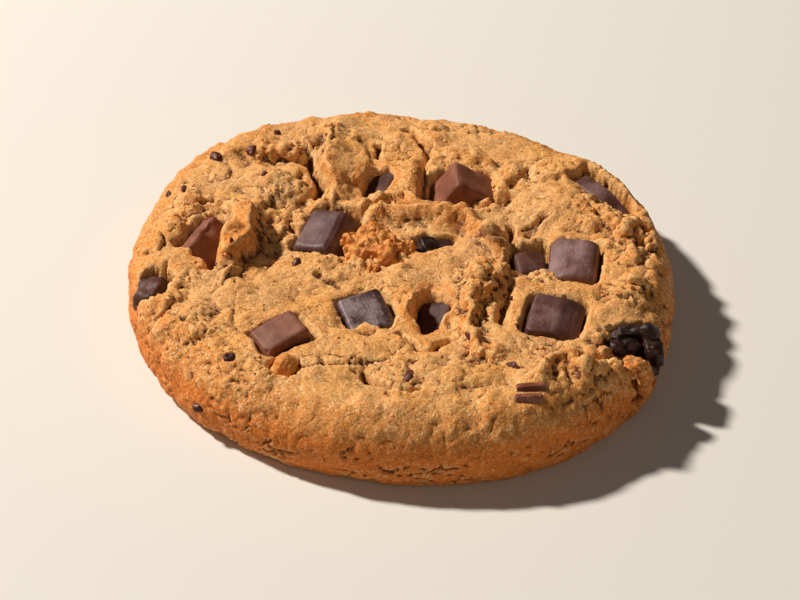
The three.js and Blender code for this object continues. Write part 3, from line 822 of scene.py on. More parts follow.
# %% How far each chunk stands out of the dough at its front
REVEALS = {
    "chunk_milk_back": 2.2,
    "chunk_dark_left": 1.6,
    "chunk_milk_left": 1.2,
    "chunk_dark_middle": 1.4,
    "chunk_milk_front": 2.0,
    "chunk_rounded_right": 1.9,
    "chunk_dark_right": 1.5,
    "chunk_milk_sunken": 1.0,
    "chunk_bar_rim": 0.6,
    "chunk_crumpled_rim": 1.1,
    "chunk_glossy_middle": 0,
    "chunk_glossy_rim": 1.2,
    "nugget_browned": 1.0,
    "nugget_bead": 1.2,
}
COVERED = ("chunk_dark_middle", "chunk_milk_left")
COVER_START = 0.7
print("chunks with a seat:", len(REVEALS))

# %% Seat each chunk in the dough
GAP = 0.16
FLOOR_UNDER = 0.3
SEAT_REACH = 5.0
SEAT_SLOPE = 1.0
BACK_SHARE = 0.3
MOAT_REACH = 0.7
MOAT_DEPTH = 0.2
SEAT_EASING = 2
UP = Vector((0, 0, 1))
NO_HIT = 1e9


def seat_chunk(height, mesh, reveal, covered):
    """Lowers the dough round a chunk so that its sides show, and under it so that it has a bed."""
    tree = tree_of(mesh)
    points = points_of(mesh)
    low = points.min(0)
    high = points.max(0)
    middle_y = (low[1] + high[1]) / 2
    close = on_top & (x > low[0] - SEAT_REACH) & (x < high[0] + SEAT_REACH)
    close &= (y > low[1] - SEAT_REACH) & (y < high[1] + SEAT_REACH)
    for index in np.flatnonzero(close):
        spot = Vector((x[index], y[index], height[index]))
        bottom = NO_HIT
        for dx, dy in ((0, 0), (GAP, 0), (-GAP, 0), (0, GAP), (0, -GAP)):
            below = Vector((spot.x + dx, spot.y + dy, low[2] - 1))
            hit = tree.ray_cast(below, UP)[0]
            if hit is not None:
                bottom = min(bottom, hit.z)
        edge = tree.find_nearest(Vector((spot.x, spot.y, high[2])))[0]
        if covered and edge.z < spot.z - (0 if bottom < NO_HIT else COVER_START):
            continue
        if bottom < NO_HIT:
            height[index] = min(height[index], bottom - FLOOR_UNDER)
            continue
        away = math.hypot(edge.x - spot.x, edge.y - spot.y)
        front = min(1.0, max(0.0, 0.5 - (spot.y - middle_y) / (high[1] - low[1])))
        stand = reveal * (BACK_SHARE + (1 - BACK_SHARE) * front**2)
        ceiling = edge.z - stand + SEAT_SLOPE * away
        if reveal and spot.z > ceiling:
            ease = min(1.0, away / SEAT_REACH)
            height[index] += (ceiling - spot.z) * (1 - ease * ease)
        nearest = tree.find_nearest(spot)
        if nearest[3] < MOAT_REACH:
            height[index] -= MOAT_DEPTH * (1 - nearest[3] / MOAT_REACH) ** 2


seated = skin[:, 2].copy()
for name, mesh in {**block_meshes, **lump_meshes}.items():
    if name in REVEALS:
        seat_chunk(seated, mesh, REVEALS[name], name in COVERED)
sunk = skin[:, 2] - seated
skin[:, 2] -= np.where(on_top, evened(sunk, SEAT_EASING), 0)
print("deepest seat:", round(sunk.max(), 1), "mm")

# %% [markdown]
# ## Crumb
# Brown sugar and butter make a crumbly skin: rounded granules with dark creases between them,
# rougher on folds and at the rim than on the calm plates, and fine cracks where it dried. The
# skin moves along its own direction, so that granules also stand out of steep walls.

# %% Where the dough is crumbly: x, y, half length, half width, turn, share
CRAGS = (
    (39, 3, 8, 5, 90, 1.0),
    (22, -7, 7, 5, 0, 0.9),
    (15.5, 3.5, 5, 3.5, -55, 1.0),
    (13.5, -8.5, 7, 7, 0, 1.0),
    (-18.5, 8, 6, 5, 80, 1.0),
    (-37.5, -13, 7, 5, 80, 0.7),
    (-33, -23, 6, 4, -30, 0.45),
    (-5, 0, 10, 6, 0, 1.0),
    (-3, 11.5, 8, 4, 0, 0.8),
    (-20.5, 27, 7, 4, 20, 1.0),
    (19, 19.5, 6, 5, 60, 0.7),
    (34.5, 10, 6, 5, -60, 1.0),
    (11, -19, 7, 4, 90, 0.8),
    (13, -27, 5, 4, 0, 0.6),
    (32, -24, 7, 5, 0, 0.7),
    (-35, 9, 7, 5, 60, 0.8),
    (-20, 18, 7, 6, 0, 0.6),
    (36, -12, 6, 5, 0, 0.8),
    (24, -33, 6, 4, 30, 0.5),
)
CALM_CRAG = 0.1
PATCH_CRAG = 0.35
PATCH_SIZE = 6
PATCH_BAND = (0, 0.8)
PLATE_CRAG = 0.2
PLATE_BAND = (0.6, 1.0)
CRAG_BAND = (0.4, 1.1)


def crag_share(x, y):
    """How crumbly the dough is at a place, from 0 to 1."""
    share = CALM_CRAG + PATCH_CRAG * ramp(swell([x, y], PATCH_SIZE, 45), *PATCH_BAND)
    for crag in CRAGS:
        share = np.maximum(share, crag[5] * (1 - ramp(oval_share(x, y, crag), *CRAG_BAND)))
    for plate in PLATES:
        off = ramp(oval_share(x, y, plate), *PLATE_BAND)
        share = share * (PLATE_CRAG + (1 - PLATE_CRAG) * off)
    return share


crag = crag_share(x, y)
print("crumbly share of the skin:", round(float(crag.mean()), 2))

# %% Where the dough dried and cracked: x, y, half length, half width, turn, share
CRACKED = (
    (-28, -20, 12, 7, -20, 0.45),
    (-12, -31, 14, 3.4, 0, 0.9),
    (-37, 4, 5, 9, 0, 0.6),
    (-20, 18, 6, 6, 0, 0.4),
    (26, 10, 7, 6, 0, 0.25),
    (8, -36, 9, 4, 0, 0.5),
    (34, -20, 5, 5, 0, 0.3),
)
CALM_DRY = 0.15
CRAG_DRY = 0.5
DRY_BAND = (0.5, 1.1)
OPEN_BAND = (-0.2, 0.4)
CRACK_FLOOR = 0.02


def dried_share(x, y, crag):
    """How much the dough dried and cracked at a place, from 0 to 1."""
    dried = CALM_DRY + CRAG_DRY * crag
    for oval in CRACKED:
        inside = 1 - ramp(oval_share(x, y, oval), *DRY_BAND)
        dried = np.maximum(dried, oval[5] * inside)
    return dried


def cracks(axes, spacing, seed, width, patch):
    """One on the line between two scattered points, in patches of the skin only."""
    near, far = scattered(axes, spacing, seed)
    opened = ramp(swell(axes, patch, seed + 5), *OPEN_BAND)
    return opened * (1 - ramp(far - near, CRACK_FLOOR, width))


print("dried share of the skin:", round(float(dried_share(x, y, crag).mean()), 2))

# %% Granules and cracks on the top
CRUMB_BENDS = ((2.6, 0.8, 60), (1.1, 0.3, 64))
GRANULE_LEVEL = 0.45
# Spacing and seed of the large, middle and small granules.
GRANULES = ((3.1, 71), (1.7, 73), (0.9, 75))
# Depth, then the spacing, seed, width and patch size of the cracks.
CRACKS = ((0.7, (5.2, 81, 0.1, 7.0)), (0.45, (2.9, 88, 0.13, 6.0)))


def crumb_relief(points, crag):
    axes = list(points.T)
    soft = stirred(axes, CRUMB_BENDS)
    rise = (0.14 + 0.4 * crag) * swell(axes, 1.9, 51) + (0.08 + 0.16 * crag) * swell(axes, 0.85, 52)
    heights = (crag * crag * 2.2, (0.1 + crag) * 1.1, 0.16 + 0.3 * crag)
    for height, (spacing, seed) in zip(heights, GRANULES):
        near, _ = scattered(soft, spacing, seed)
        rise += height * (GRANULE_LEVEL - near * near)
    dried = dried_share(points[:, 0], points[:, 1], crag)
    for depth, crack in CRACKS:
        rise -= depth * dried * cracks(soft, *crack)
    return rise


# %% Cracks and pits on the side
SIDE_STRETCH = 1.6
SIDE_SQUEEZE = 1.7
SIDE_CRACK_DEPTH = 0.55
SIDE_CRACK = (2.6, 87, 0.14, 4.0)
SIDE_CRACK_BENDS = ((1.7, 0.5, 66),)
PIT_BENDS = ((1.1, 0.3, 64),)
PIT_SIZE = 1.3
PIT_DEPTH = 0.3


def side_relief(points):
    """Short level cracks that open in the side as the dough spreads, and small pits."""
    axes = list(points.T)
    flat = [axes[0] / SIDE_STRETCH, axes[1] / SIDE_STRETCH, axes[2] * SIDE_SQUEEZE]
    rise = -SIDE_CRACK_DEPTH * cracks(stirred(flat, SIDE_CRACK_BENDS), *SIDE_CRACK)
    near, _ = scattered(stirred(axes, PIT_BENDS), PIT_SIZE, 77)
    return rise + PIT_DEPTH * (GRANULE_LEVEL - near * near)


# %% Move the skin along its own direction
SIDE_CRUMB_LOSS = 0.4
SIDE_RELIEF_LOSS = 0.2
FOOT_RELIEF_LOSS = 0.6
SIDE_BAND = (0.15, 0.5)
FOOT_BAND = (0.9, 1.0)
set_points(dough_mesh, skin)
normals = directions(dough_mesh)
side_share = ramp(down, *SIDE_BAND)
relief = crumb_relief(skin, crag * (1 - SIDE_CRUMB_LOSS * side_share))
relief = relief * (1 - SIDE_RELIEF_LOSS * side_share) + side_share * side_relief(skin)
calm = np.where(on_base, 0.0, 1.0) * (1 - FOOT_RELIEF_LOSS * ramp(down, *FOOT_BAND))
skin = skin + normals * (relief * calm)[:, None]
skin[:, 2] = np.where(on_base, 0.0, np.maximum(skin[:, 2], 0.0))
print("relief from", round(relief.min(), 2), "to", round(relief.max(), 2), "mm")

# %% [markdown]
# ## Where the dough browned
# The oven browns what sticks out: crests, crumbs and the rim. Hollows get painted shade. So each
# point is compared with the average of its surroundings, and the difference is stored for the
# material to read. The rim, the underside, a few stains of melted chocolate and the greyed
# patches of painted shade are stored the same way.

# %% How much each point stands out
WIDE_EVENING = 60
FINE_EVENING = 3
LUMP_EVENING = 22


def standing_out(times):
    """How far each point stands out from the average of its surroundings."""
    around = np.stack([evened(skin[:, k], times) for k in range(3)], 1)
    return np.sum((skin - around) * normals, axis=1)


surface_height = np.where(on_top, skin[:, 2] + evened(sunk, SEAT_EASING), skin[:, 2])
crest_wide = np.where(on_top, surface_height - evened(surface_height, WIDE_EVENING), 0)
set_points(dough_mesh, skin)
normals = directions(dough_mesh)
set_shares(dough_mesh, "crest_wide", crest_wide)
set_shares(dough_mesh, "bulge", standing_out(FINE_EVENING))
lump_rise = np.where(on_base, 0, standing_out(LUMP_EVENING))
set_shares(dough_mesh, "lump_rise", lump_rise)
print("crests up to", round(crest_wide.max(), 2), "mm, lumps", round(lump_rise.std(), 3), "mm")

# %% The rim, the wall and the base
RIM_BAND = (0.5, 9.0)
WALL_HEIGHTS = (7.4, 10.6)
WALL_BAND = (-5, -2.5)
rim_share = 1 - ramp(rim - radius, *RIM_BAND)
set_shares(dough_mesh, "rim", np.where(on_base, 0, rim_share))
wall = (1 - ramp(skin[:, 2], *WALL_HEIGHTS)) * ramp(radius - rim, *WALL_BAND)
set_shares(dough_mesh, "side", np.where(on_base, 0, wall))
set_shares(dough_mesh, "base", on_base.astype(float))
print("share of the skin that is wall:", round(float(wall.mean()), 2))

# %% Where it browned more, is greyed (partly painted shade) or is stained: x, y, half sizes, turn, share
TOASTED = (
    (38.5, 4, 9, 5, 90, 0.9),
    (-26.6, 1, 9, 4.4, 85, 0.9),
    (12, 6.4, 9, 4, -45, 0.8),
    (-22, 28, 9, 4, 30, 0.7),
    (26, -30, 9, 4, 20, 0.8),
    (35, -28, 6, 3, 10, 1.0),
    (10.7, -19, 7, 3, 90, 0.6),
    (12.5, -26, 5, 3, -40, 0.8),
    (-36, -22, 5, 3, 30, 0.7),
    (-35, 10, 7, 3, 60, 0.6),
    (31, 10, 4, 3, -40, 0.8),
    (0, 13, 8, 3, 0, 0.7),
    (32, 19, 9, 3, -50, 0.7),
    (-3, 3.5, 7, 2.6, 10, 0.6),
)
# Greyed patches: painted shade where they lie in hollows, a greyer dough tone elsewhere.
GREYED_SHADE = (
    (17.4, 14.5, 5, 3, 40, 1.0),
    (-20.5, 17, 6, 5, 0, 0.7),
    (-20, 1, 4, 5, 0, 0.9),
    (1.4, 21, 4, 5, 0, 0.6),
    (-16, 30, 2.4, 8, 0, 0.5),
    (22, 8, 6, 4, 0, 0.5),
    (-4, -35, 8, 3, 0, 0.7),
    (-22, -28, 6, 3, 0, 0.5),
    (-31, -8, 6, 3, 0, 0.6),
    (3, -8, 8, 4, 0, 0.4),
    (21, -24, 6, 4, 0, 0.5),
)
STAINS = (
    (-8, -33.5, 6, 3, 10, 0.5),
    (15, 1.5, 4.5, 1.6, -50, 1.0),
    (-28.3, -6, 2.4, 2.4, 0, 0.6),
    (30.5, 8.5, 2.2, 1.6, 0, 0.5),
    (-31, -7, 3, 1.5, 20, 0.5),
    (33, -14, 5, 3, 10, 0.6),
    (19, -9, 3, 2, 0, 0.5),
    (-36, -24, 2, 1, 30, 0.6),
)


def painted(ovals):
    """The share of each point that the ovals cover, with the plan bent as the forms are."""
    share = np.zeros(len(skin))
    bx, by = stirred([x, y], BENDS)
    for oval in ovals:
        share = np.maximum(share, oval[5] * bell(oval_share(bx, by, oval)))
    return np.where(on_base, 0, share)


set_shares(dough_mesh, "toasted", painted(TOASTED))
set_shares(dough_mesh, "greyed_shade", painted(GREYED_SHADE))
set_shares(dough_mesh, "stain", np.where(on_top, painted(STAINS), 0))
print("stored:", [layer.name for layer in dough_mesh.attributes if layer.domain == "POINT"])

# %% Hand over the dough, the blocks and the lumps
dough = finish_piece(dough_mesh, "dough_skin", "dough", "dough")
MILK = (
    "chunk_milk_back", "chunk_milk_left", "chunk_milk_front", "chunk_milk_sunken",
    "chunk_rounded_right", "chunk_hole_back", "chunk_hole_front",
)


def slot_of(name):
    if name.startswith("nugget"):
        return "browned_dough"
    return "milk_chocolate" if name in MILK else "dark_chocolate"


chunks = {}
for name, mesh in {**block_meshes, **lump_meshes}.items():
    chunks[name] = finish_piece(mesh, name + "_piece", slot_of(name), name)
print("pieces:", len(chunks) + 1)

# %% [markdown]
# ## Chips, slivers and crumbs
# Flecks of chocolate the size of a pinhead are pressed into the crust, and fine crumbs and sugar
# lie all over it. The chips are one mesh of small rough balls and the slivers one of two thin
# blocks, each at its place in the photo. The crumbs are dropped by a seeded draw, more of them
# where the dough is crumbly. A ray from above finds the finished skin under each.

# %% The skin under a spot
DOWN = Vector((0, 0, -1))
HIGH_ABOVE = Vector((0, 0, 0.1))
ground = tree_of(dough.data)


def surface_under(x, y):
    """Place and direction of the skin under a spot, in millimetres."""
    spot = (Vector((x, y, 0)) + OUTLINE_MIDDLE) * MM
    hit, normal, _, _ = ground.ray_cast(spot + HIGH_ABOVE, DOWN)
    return hit / MM - OUTLINE_MIDDLE, normal


print("skin in the middle:", surface_under(0, 0)[0])

# %% Chips pressed into the crust: x, y, height or None, half sizes, turn
CHIPS = (
    (-31.7, 25.5, None, (1.1, 1.4, 0.9), 0),
    (-39.3, 16.4, None, (0.5, 0.9, 0.6), 10),
    (-36.7, 16.6, None, (0.5, 0.9, 0.6), -10),
    (-25.5, 26, None, (0.9, 1.3, 0.9), -15),
    (-22.9, 18.8, None, (0.6, 0.6, 0.6), 0),
    (-21.7, 35.4, None, (0.8, 0.6, 0.6), 0),
    (-16.9, -3.4, None, (0.7, 1.5, 0.8), -10),
    (-26.3, -28.4, None, (1, 1.2, 0.8), 0),
    (-31.1, -31.3, 5.4, (0.9, 0.9, 0.9), 0),
    (1.5, -33.4, None, (0.7, 1.4, 0.8), -10),
    (17.2, -30.4, None, (1.4, 0.8, 0.7), -40),
    (10.4, -23.6, None, (0.4, 1, 0.5), 10),
    (18.3, -20, None, (0.5, 0.4, 0.4), 0),
    (18, -12.7, None, (0.4, 0.6, 0.4), 0),
    (-29.6, -5.4, None, (0.4, 0.7, 0.4), 20),
    (-28.2, -6.6, None, (0.5, 0.5, 0.4), 0),
    (-27.2, -3.4, None, (0.3, 0.7, 0.4), 10),
    (-19.6, -29.4, None, (0.9, 0.5, 0.6), 20),
)
CHIP_SINK = 0.3
CHIP_ROUGHNESS = 0.34
CHIP_LUMPS = 0.8
chip_shape = bmesh.new()
for x0, y0, height, half, turn in CHIPS:
    spot, _ = surface_under(x0, y0)
    spot.z -= CHIP_SINK * half[2]
    if height is not None:
        spot = Vector((x0, y0, height))
    placed = Matrix.Translation(spot) @ Matrix.Rotation(math.radians(turn), 4, "Z")
    placed = placed @ Matrix.Diagonal((*half, 1))
    bmesh.ops.create_icosphere(chip_shape, subdivisions=3, radius=1, matrix=placed)
chip_mesh = mesh_from(chip_shape, "chips")
chip_points = points_of(chip_mesh)
for k in range(3):
    chip_points[:, k] += CHIP_ROUGHNESS * swell(points_of(chip_mesh).T, CHIP_LUMPS, 131 + k)
set_points(chip_mesh, chip_points)
chips = finish_piece(chip_mesh, "chips", "dark_chocolate")

# %% Two slivers of milk chocolate: x, y, sizes, lean
SLIVERS = (
    (19.8, -35.8, (4.4, 1.6, 1.3), (4, -14, -4)),
    (19.4, -38, (4.2, 1.1, 1.2), (9, -18, 3)),
)
SLIVER_SOFT = (0.4, 0.25, 0.3)
sliver_shape = bmesh.new()
for seed, (x0, y0, size, lean) in enumerate(SLIVERS, 140):
    spot, _ = surface_under(x0, y0)
    sliver = dict(size=size, soft=SLIVER_SOFT, at=tuple(spot), lean=lean, draft=0.1, seed=seed)
    sliver_shape.from_mesh(block_mesh("sliver", sliver))
sliver_mesh = mesh_from(sliver_shape, "slivers")
slivers = finish_piece(sliver_mesh, "slivers", "milk_chocolate")

# %% Crumbs where the dough is crumbly
CRUMB_COUNT = 1500
CRUMB_FACES = 20
CRUMB_INSET = 3
CRUMB_CRAG_POWER = 1.5
CRUMB_ANYWHERE = 0.08
CRUMB_LEAST = 0.15
CRUMB_MORE = 0.42
CRUMB_RARITY = 4
CRUMB_STRETCH = (0.7, 1.2)
CRUMB_SINK = 0.4
CRUMB_TURN = 6
CRUMB_TOAST = 0.45


def set_even_share(mesh, name, value):
    set_shares(mesh, name, np.full(len(mesh.vertices), value))


draw = np.random.default_rng(7)
crumb_shape = bmesh.new()
while len(crumb_shape.faces) < CRUMB_FACES * CRUMB_COUNT:
    way = draw.uniform(0, 2 * math.pi)
    reach = float(outline_radius(np.array(way))) - CRUMB_INSET
    out = math.sqrt(draw.uniform(0, 1)) * reach
    place = np.array([out * math.cos(way)]), np.array([out * math.sin(way)])
    wanted = crag_share(*place)[0] ** CRUMB_CRAG_POWER + CRUMB_ANYWHERE
    if draw.uniform(0, 1) > wanted:
        continue
    spot, normal = surface_under(place[0][0], place[1][0])
    size = CRUMB_LEAST + CRUMB_MORE * draw.uniform(0, 1) ** CRUMB_RARITY
    stretch = draw.uniform(*CRUMB_STRETCH, 3)
    spot -= normal * CRUMB_SINK * size
    turned = Euler(draw.uniform(0, CRUMB_TURN, 3)).to_matrix().to_4x4()
    placed = Matrix.Translation(spot) @ turned @ Matrix.Diagonal((*(size * stretch), 1))
    bmesh.ops.create_icosphere(crumb_shape, subdivisions=1, radius=1, matrix=placed)
crumb_mesh = mesh_from(crumb_shape, "crumbs")
set_even_share(crumb_mesh, "toasted", CRUMB_TOAST)
crumbs = finish_piece(crumb_mesh, "crumbs", "dough")

# %% [markdown]
# ## The curled lip at the rim
# At the front right the dough tore open beside the melted chocolate, and its edge curled up into
# a small lip with a bead at its end. It is a row of overlapping balls merged into one skin.

# %% The lip
LIP = dict(
    balls=(
        ((35.6, -26.9, 11), (1.1, 0.9, 0.9)),
        ((36.6, -27.3, 10.6), (1.1, 1, 1)),
        ((37.6, -27.4, 9.6), (1.2, 1.2, 1.5)),
        ((38.2, -27.3, 8.2), (1.1, 1.2, 1.9)),
        ((38, -27.6, 6.6), (1.2, 1.2, 1.9)),
        ((34.4, -28.6, 9.8), (2.2, 1.2, 1.3)),
    ),
    blocks=(),
    voxel=0.18, coarse=(1.8, 0.3), fine=(0.7, 0.12), seed=151, granules=((1.4, 0.5), (0.8, 0.35)),
)
LIP_SHARES = {"toasted": 0.5, "rim": 0.8, "side": 0.2}
lip_mesh = lump_mesh("lip", LIP)
for share_name, share in LIP_SHARES.items():
    set_even_share(lip_mesh, share_name, share)
lip = finish_piece(lip_mesh, "dough_lip", "dough")

# %% [markdown]
# ## Writing materials as sums
# A material is a graph of nodes, but a formula is easier to read. The first class below wraps one
# socket, so that adding or multiplying two of them adds the right Math node. The second makes
# every other node from its type, its settings and what goes into its sockets.

# %% Colours as seen on screen
SCREEN = 255
SCREEN_KNEE = 0.04045


def shade(red, green, blue):
    """A colour as seen on screen, 0 to 255, in the linear values that Blender mixes."""
    linear = []
    for value in (red, green, blue):
        share = value / SCREEN
        linear.append(share / 12.92 if share <= SCREEN_KNEE else ((share + 0.055) / 1.055) ** 2.4)
    return (*linear, 1.0)


print("middle grey:", shade(128, 128, 128))


# %% A socket that can be added and multiplied
class Wire:
    def __init__(self, finish, socket):
        self.finish = finish
        self.socket = socket

    def maths(self, operation, *values):
        return self.finish.node("Math", {"operation": operation}, dict(enumerate(values)))

    def __add__(self, other):
        return self.maths("ADD", self, other)

    def __radd__(self, other):
        return self.maths("ADD", other, self)

    def __sub__(self, other):
        return self.maths("SUBTRACT", self, other)

    def __rsub__(self, other):
        return self.maths("SUBTRACT", other, self)

    def __mul__(self, other):
        return self.maths("MULTIPLY", self, other)

    def __rmul__(self, other):
        return self.maths("MULTIPLY", other, self)

    def between(self, low, high):
        """Zero at low, one at high, eased in between."""
        settings = {"interpolation_type": "SMOOTHSTEP", "clamp": True}
        sockets = {"Value": self, "From Min": low, "From Max": high}
        return self.finish.node("MapRange", settings, sockets)


# %% A finish and its nodes
NOISE_ROUGHNESS = 0.55


class Finish:
    def __init__(self, name):
        self.material = bpy.data.materials.new(name)
        self.material.use_nodes = True
        self.tree = self.material.node_tree
        self.tree.nodes.clear()

    def node(self, kind, settings, sockets, output=0):
        node = self.tree.nodes.new("ShaderNode" + kind)
        for key, value in settings.items():
            setattr(node, key, value)
        for key, value in sockets.items():
            if isinstance(value, Wire):
                self.tree.links.new(value.socket, node.inputs[key])
            else:
                node.inputs[key].default_value = value
        return Wire(self, node.outputs[output]) if node.outputs else node

    def place(self):
        """Where a point is on the object, in metres."""
        return self.node("TexCoord", {}, {}, "Object")

    def noise(self, size, detail):
        """Noise whose lumps are about size millimetres across."""
        sockets = {"Vector": self.place(), "Scale": 1 / (size * MM), "Detail": detail}
        return self.node("TexNoise", {}, sockets | {"Roughness": NOISE_ROUGHNESS})

    def cells(self, size):
        """One even random value for each grain about size millimetres across."""
        sockets = {"Vector": self.place(), "Scale": 1 / (size * MM)}
        grain = self.node("TexVoronoi", {}, sockets, "Position")
        return self.node("TexWhiteNoise", {"noise_dimensions": "3D"}, {"Vector": grain})

    def stored(self, name):
        """A share that was stored on the mesh."""
        return self.node("Attribute", {"attribute_name": name}, {}, "Fac")

    def blend(self, share, first, second):
        """The first colour where share is zero, the second where it is one."""
        settings = {"data_type": "RGBA", "clamp_factor": True}
        return self.node("Mix", settings, {0: share, 6: first, 7: second}, 2)

    def bump(self, height, distance):
        sockets = {"Height": height, "Distance": distance * MM, "Strength": 1.0}
        return self.node("Bump", {}, sockets)

    def surface(self, sockets):
        skin = self.node("BsdfPrincipled", {}, sockets)
        self.node("OutputMaterial", {}, {"Surface": skin})
        return self.material


# %% [markdown]
# ## Baked crust
# Sugar and butter brown on crests and at the rim. Hollows and creases get painted shade, a darker
# and greyer brown, and the tips of small bumps a painted highlight in the colour of sugar.
# The crust is dry and sandy, so it is rough and its bump is as fine as sugar.

# %% The crust's colours, and how much of each shows
TAN = shade(231, 171, 108)
GOLD = shade(236, 161, 78)
ORANGE = shade(228, 134, 48)
TOAST = shade(221, 119, 35)
RIM = shade(218, 136, 62)
DULL = shade(202, 154, 102)
SHADED = shade(178, 126, 78)
CREVICE_SHADE = shade(96, 44, 12)
SUGAR_AND_HIGHLIGHT = shade(255, 220, 154)
BROWN_SUGAR = shade(140, 78, 30)
STAIN = shade(104, 52, 30)
SHOWS = dict(
    greyed_shade=0.75, sunken=0.65, crest=0.6, toasted=0.7, rim=0.75, lump=0.45, wall=0.9, base=0.75,
    crevice_shade=0.9, crest_sugar_and_highlight=0.35, grain_sugar=0.46, brown_sugar=0.34, brown_dust=0.14, stain=0.6,
)
CRUST_ROUGHNESS = 0.8
SUGAR_GLINT = 0.4
CRUST_BUMP = 0.4
print("crust colours:", len(SHOWS))


# %% The crust's finish
def crust_finish():
    f = Finish("baked_crust")
    patches = f.noise(8, 4)
    speckle = f.noise(0.9, 4)
    fine = f.noise(0.4, 3)
    grain = f.cells(0.28)
    colour = f.blend(patches.between(0.25, 0.75), TAN, GOLD)
    # Greyer, duller dough on the greyed patches: partly painted shade of hollows, partly a greyer
    # tone.
    colour = f.blend(f.stored("greyed_shade") * SHOWS["greyed_shade"], colour, DULL)
    wide = f.stored("crest_wide")
    # Painted shade: wide hollows are darkened to a grey-brown.
    sunken = (0 - wide + (speckle - 0.5) * 0.8).between(0.0, 1.5)
    colour = f.blend(sunken * SHOWS["sunken"], colour, SHADED)
    crest = (wide + (speckle - 0.5) * 1.0).between(0.05, 1.1)
    colour = f.blend(crest * SHOWS["crest"], colour, ORANGE)
    toasted = (f.stored("toasted") + (speckle - 0.5) * 0.7).between(0.05, 0.8)
    colour = f.blend(toasted * SHOWS["toasted"], colour, ORANGE)
    rim = (f.stored("rim") + (patches - 0.5) * 0.5).between(0.3, 0.85)
    colour = f.blend(rim * SHOWS["rim"], colour, RIM)
    lump = f.stored("lump_rise")
    # Painted shade: the hollows between lumps are darkened to deep brown, less where toasted.
    shaded = (0 - lump).between(0.04, 0.4) * (0.7 - f.stored("toasted") * 0.35)
    colour = f.blend(shaded, colour, CREVICE_SHADE)
    colour = f.blend(lump.between(0.12, 0.5) * SHOWS["lump"], colour, ORANGE)
    colour = f.blend(f.stored("side") * SHOWS["wall"], colour, TOAST)
    colour = f.blend(f.stored("base") * SHOWS["base"], colour, TOAST)
    bulge = f.stored("bulge")
    # Painted shade: fine creases are darkened to deep brown.
    colour = f.blend((0 - bulge).between(0.015, 0.12) * SHOWS["crevice_shade"], colour, CREVICE_SHADE)
    # Painted highlight: the tips of small bumps are lightened to the pale colour of sugar.
    colour = f.blend(bulge.between(0.03, 0.16) * SHOWS["crest_sugar_and_highlight"], colour, SUGAR_AND_HIGHLIGHT)
    sugar = grain.between(0.66, 0.98) * (SHOWS["grain_sugar"] - f.stored("side") * 0.24)
    colour = f.blend(sugar, colour, SUGAR_AND_HIGHLIGHT)
    colour = f.blend((1 - grain).between(0.6, 0.98) * SHOWS["brown_sugar"], colour, BROWN_SUGAR)
    colour = f.blend(fine.between(0.55, 0.7) * SHOWS["brown_dust"], colour, BROWN_SUGAR)
    stain = (f.stored("stain") + (speckle - 0.5) * 0.5).between(0.3, 0.8)
    colour = f.blend(stain * SHOWS["stain"], colour, STAIN)
    height = grain * 0.7 + fine * 0.5 + speckle * 0.35
    return f.surface({
        "Base Color": colour,
        "Roughness": CRUST_ROUGHNESS - grain.between(0.85, 0.95) * SUGAR_GLINT,
        "Specular IOR Level": 0.3,
        "Normal": f.bump(height, CRUST_BUMP),
    })


crust = crust_finish()
for piece in (dough, crumbs, lip):
    piece.data.materials.append(crust)
print("crust finish:", len(crust.node_tree.nodes), "nodes")

# %% [markdown]
# ## Browned nuggets
# The loose nuggets had more air round them and browned deeper, to orange and toffee.

# %% The nuggets' finish
NUGGET_GOLD = shade(238, 158, 70)
NUGGET_TOFFEE = shade(216, 122, 38)
NUGGET_PALE = shade(248, 202, 134)
NUGGET_DARK = shade(158, 76, 20)


def nugget_finish():
    f = Finish("browned_nugget")
    patches = f.noise(2.5, 3)
    speckle = f.noise(0.6, 4)
    colour = f.blend(patches.between(0.35, 0.65), NUGGET_GOLD, NUGGET_TOFFEE)
    colour = f.blend(speckle.between(0.5, 0.75) * 0.6, colour, NUGGET_PALE)
    colour = f.blend((1 - speckle).between(0.55, 0.75) * 0.6, colour, NUGGET_DARK)
    return f.surface({
        "Base Color": colour,
        "Roughness": 0.6,
        "Normal": f.bump(speckle + f.noise(0.3, 2) * 0.5, 0.3),
    })


finishes = {"browned_dough": nugget_finish()}
print("nugget finish:", finishes["browned_dough"].name)

# %% [markdown]
# ## Chocolate
# Moulded chocolate has a satin skin with fine streaks along the block, and dark pieces keep a dusty
# bloom. Edges are a little paler, partly rubbed and partly a painted highlight, and grey smears
# paint the sheen of the lit faces along with the bloom. Where it melted it set glossy. Eight
# finishes come from one recipe, and a table gives each its deep, light and bloom-and-sheen colour.
# One darker copy of milk chocolate paints the shade on chunks down in holes.

# %% The recipe of a chocolate finish
STREAK_WIDTH = 2.2
STREAK_LENGTH = 0.12
CHOCOLATE_BUMP = 0.05


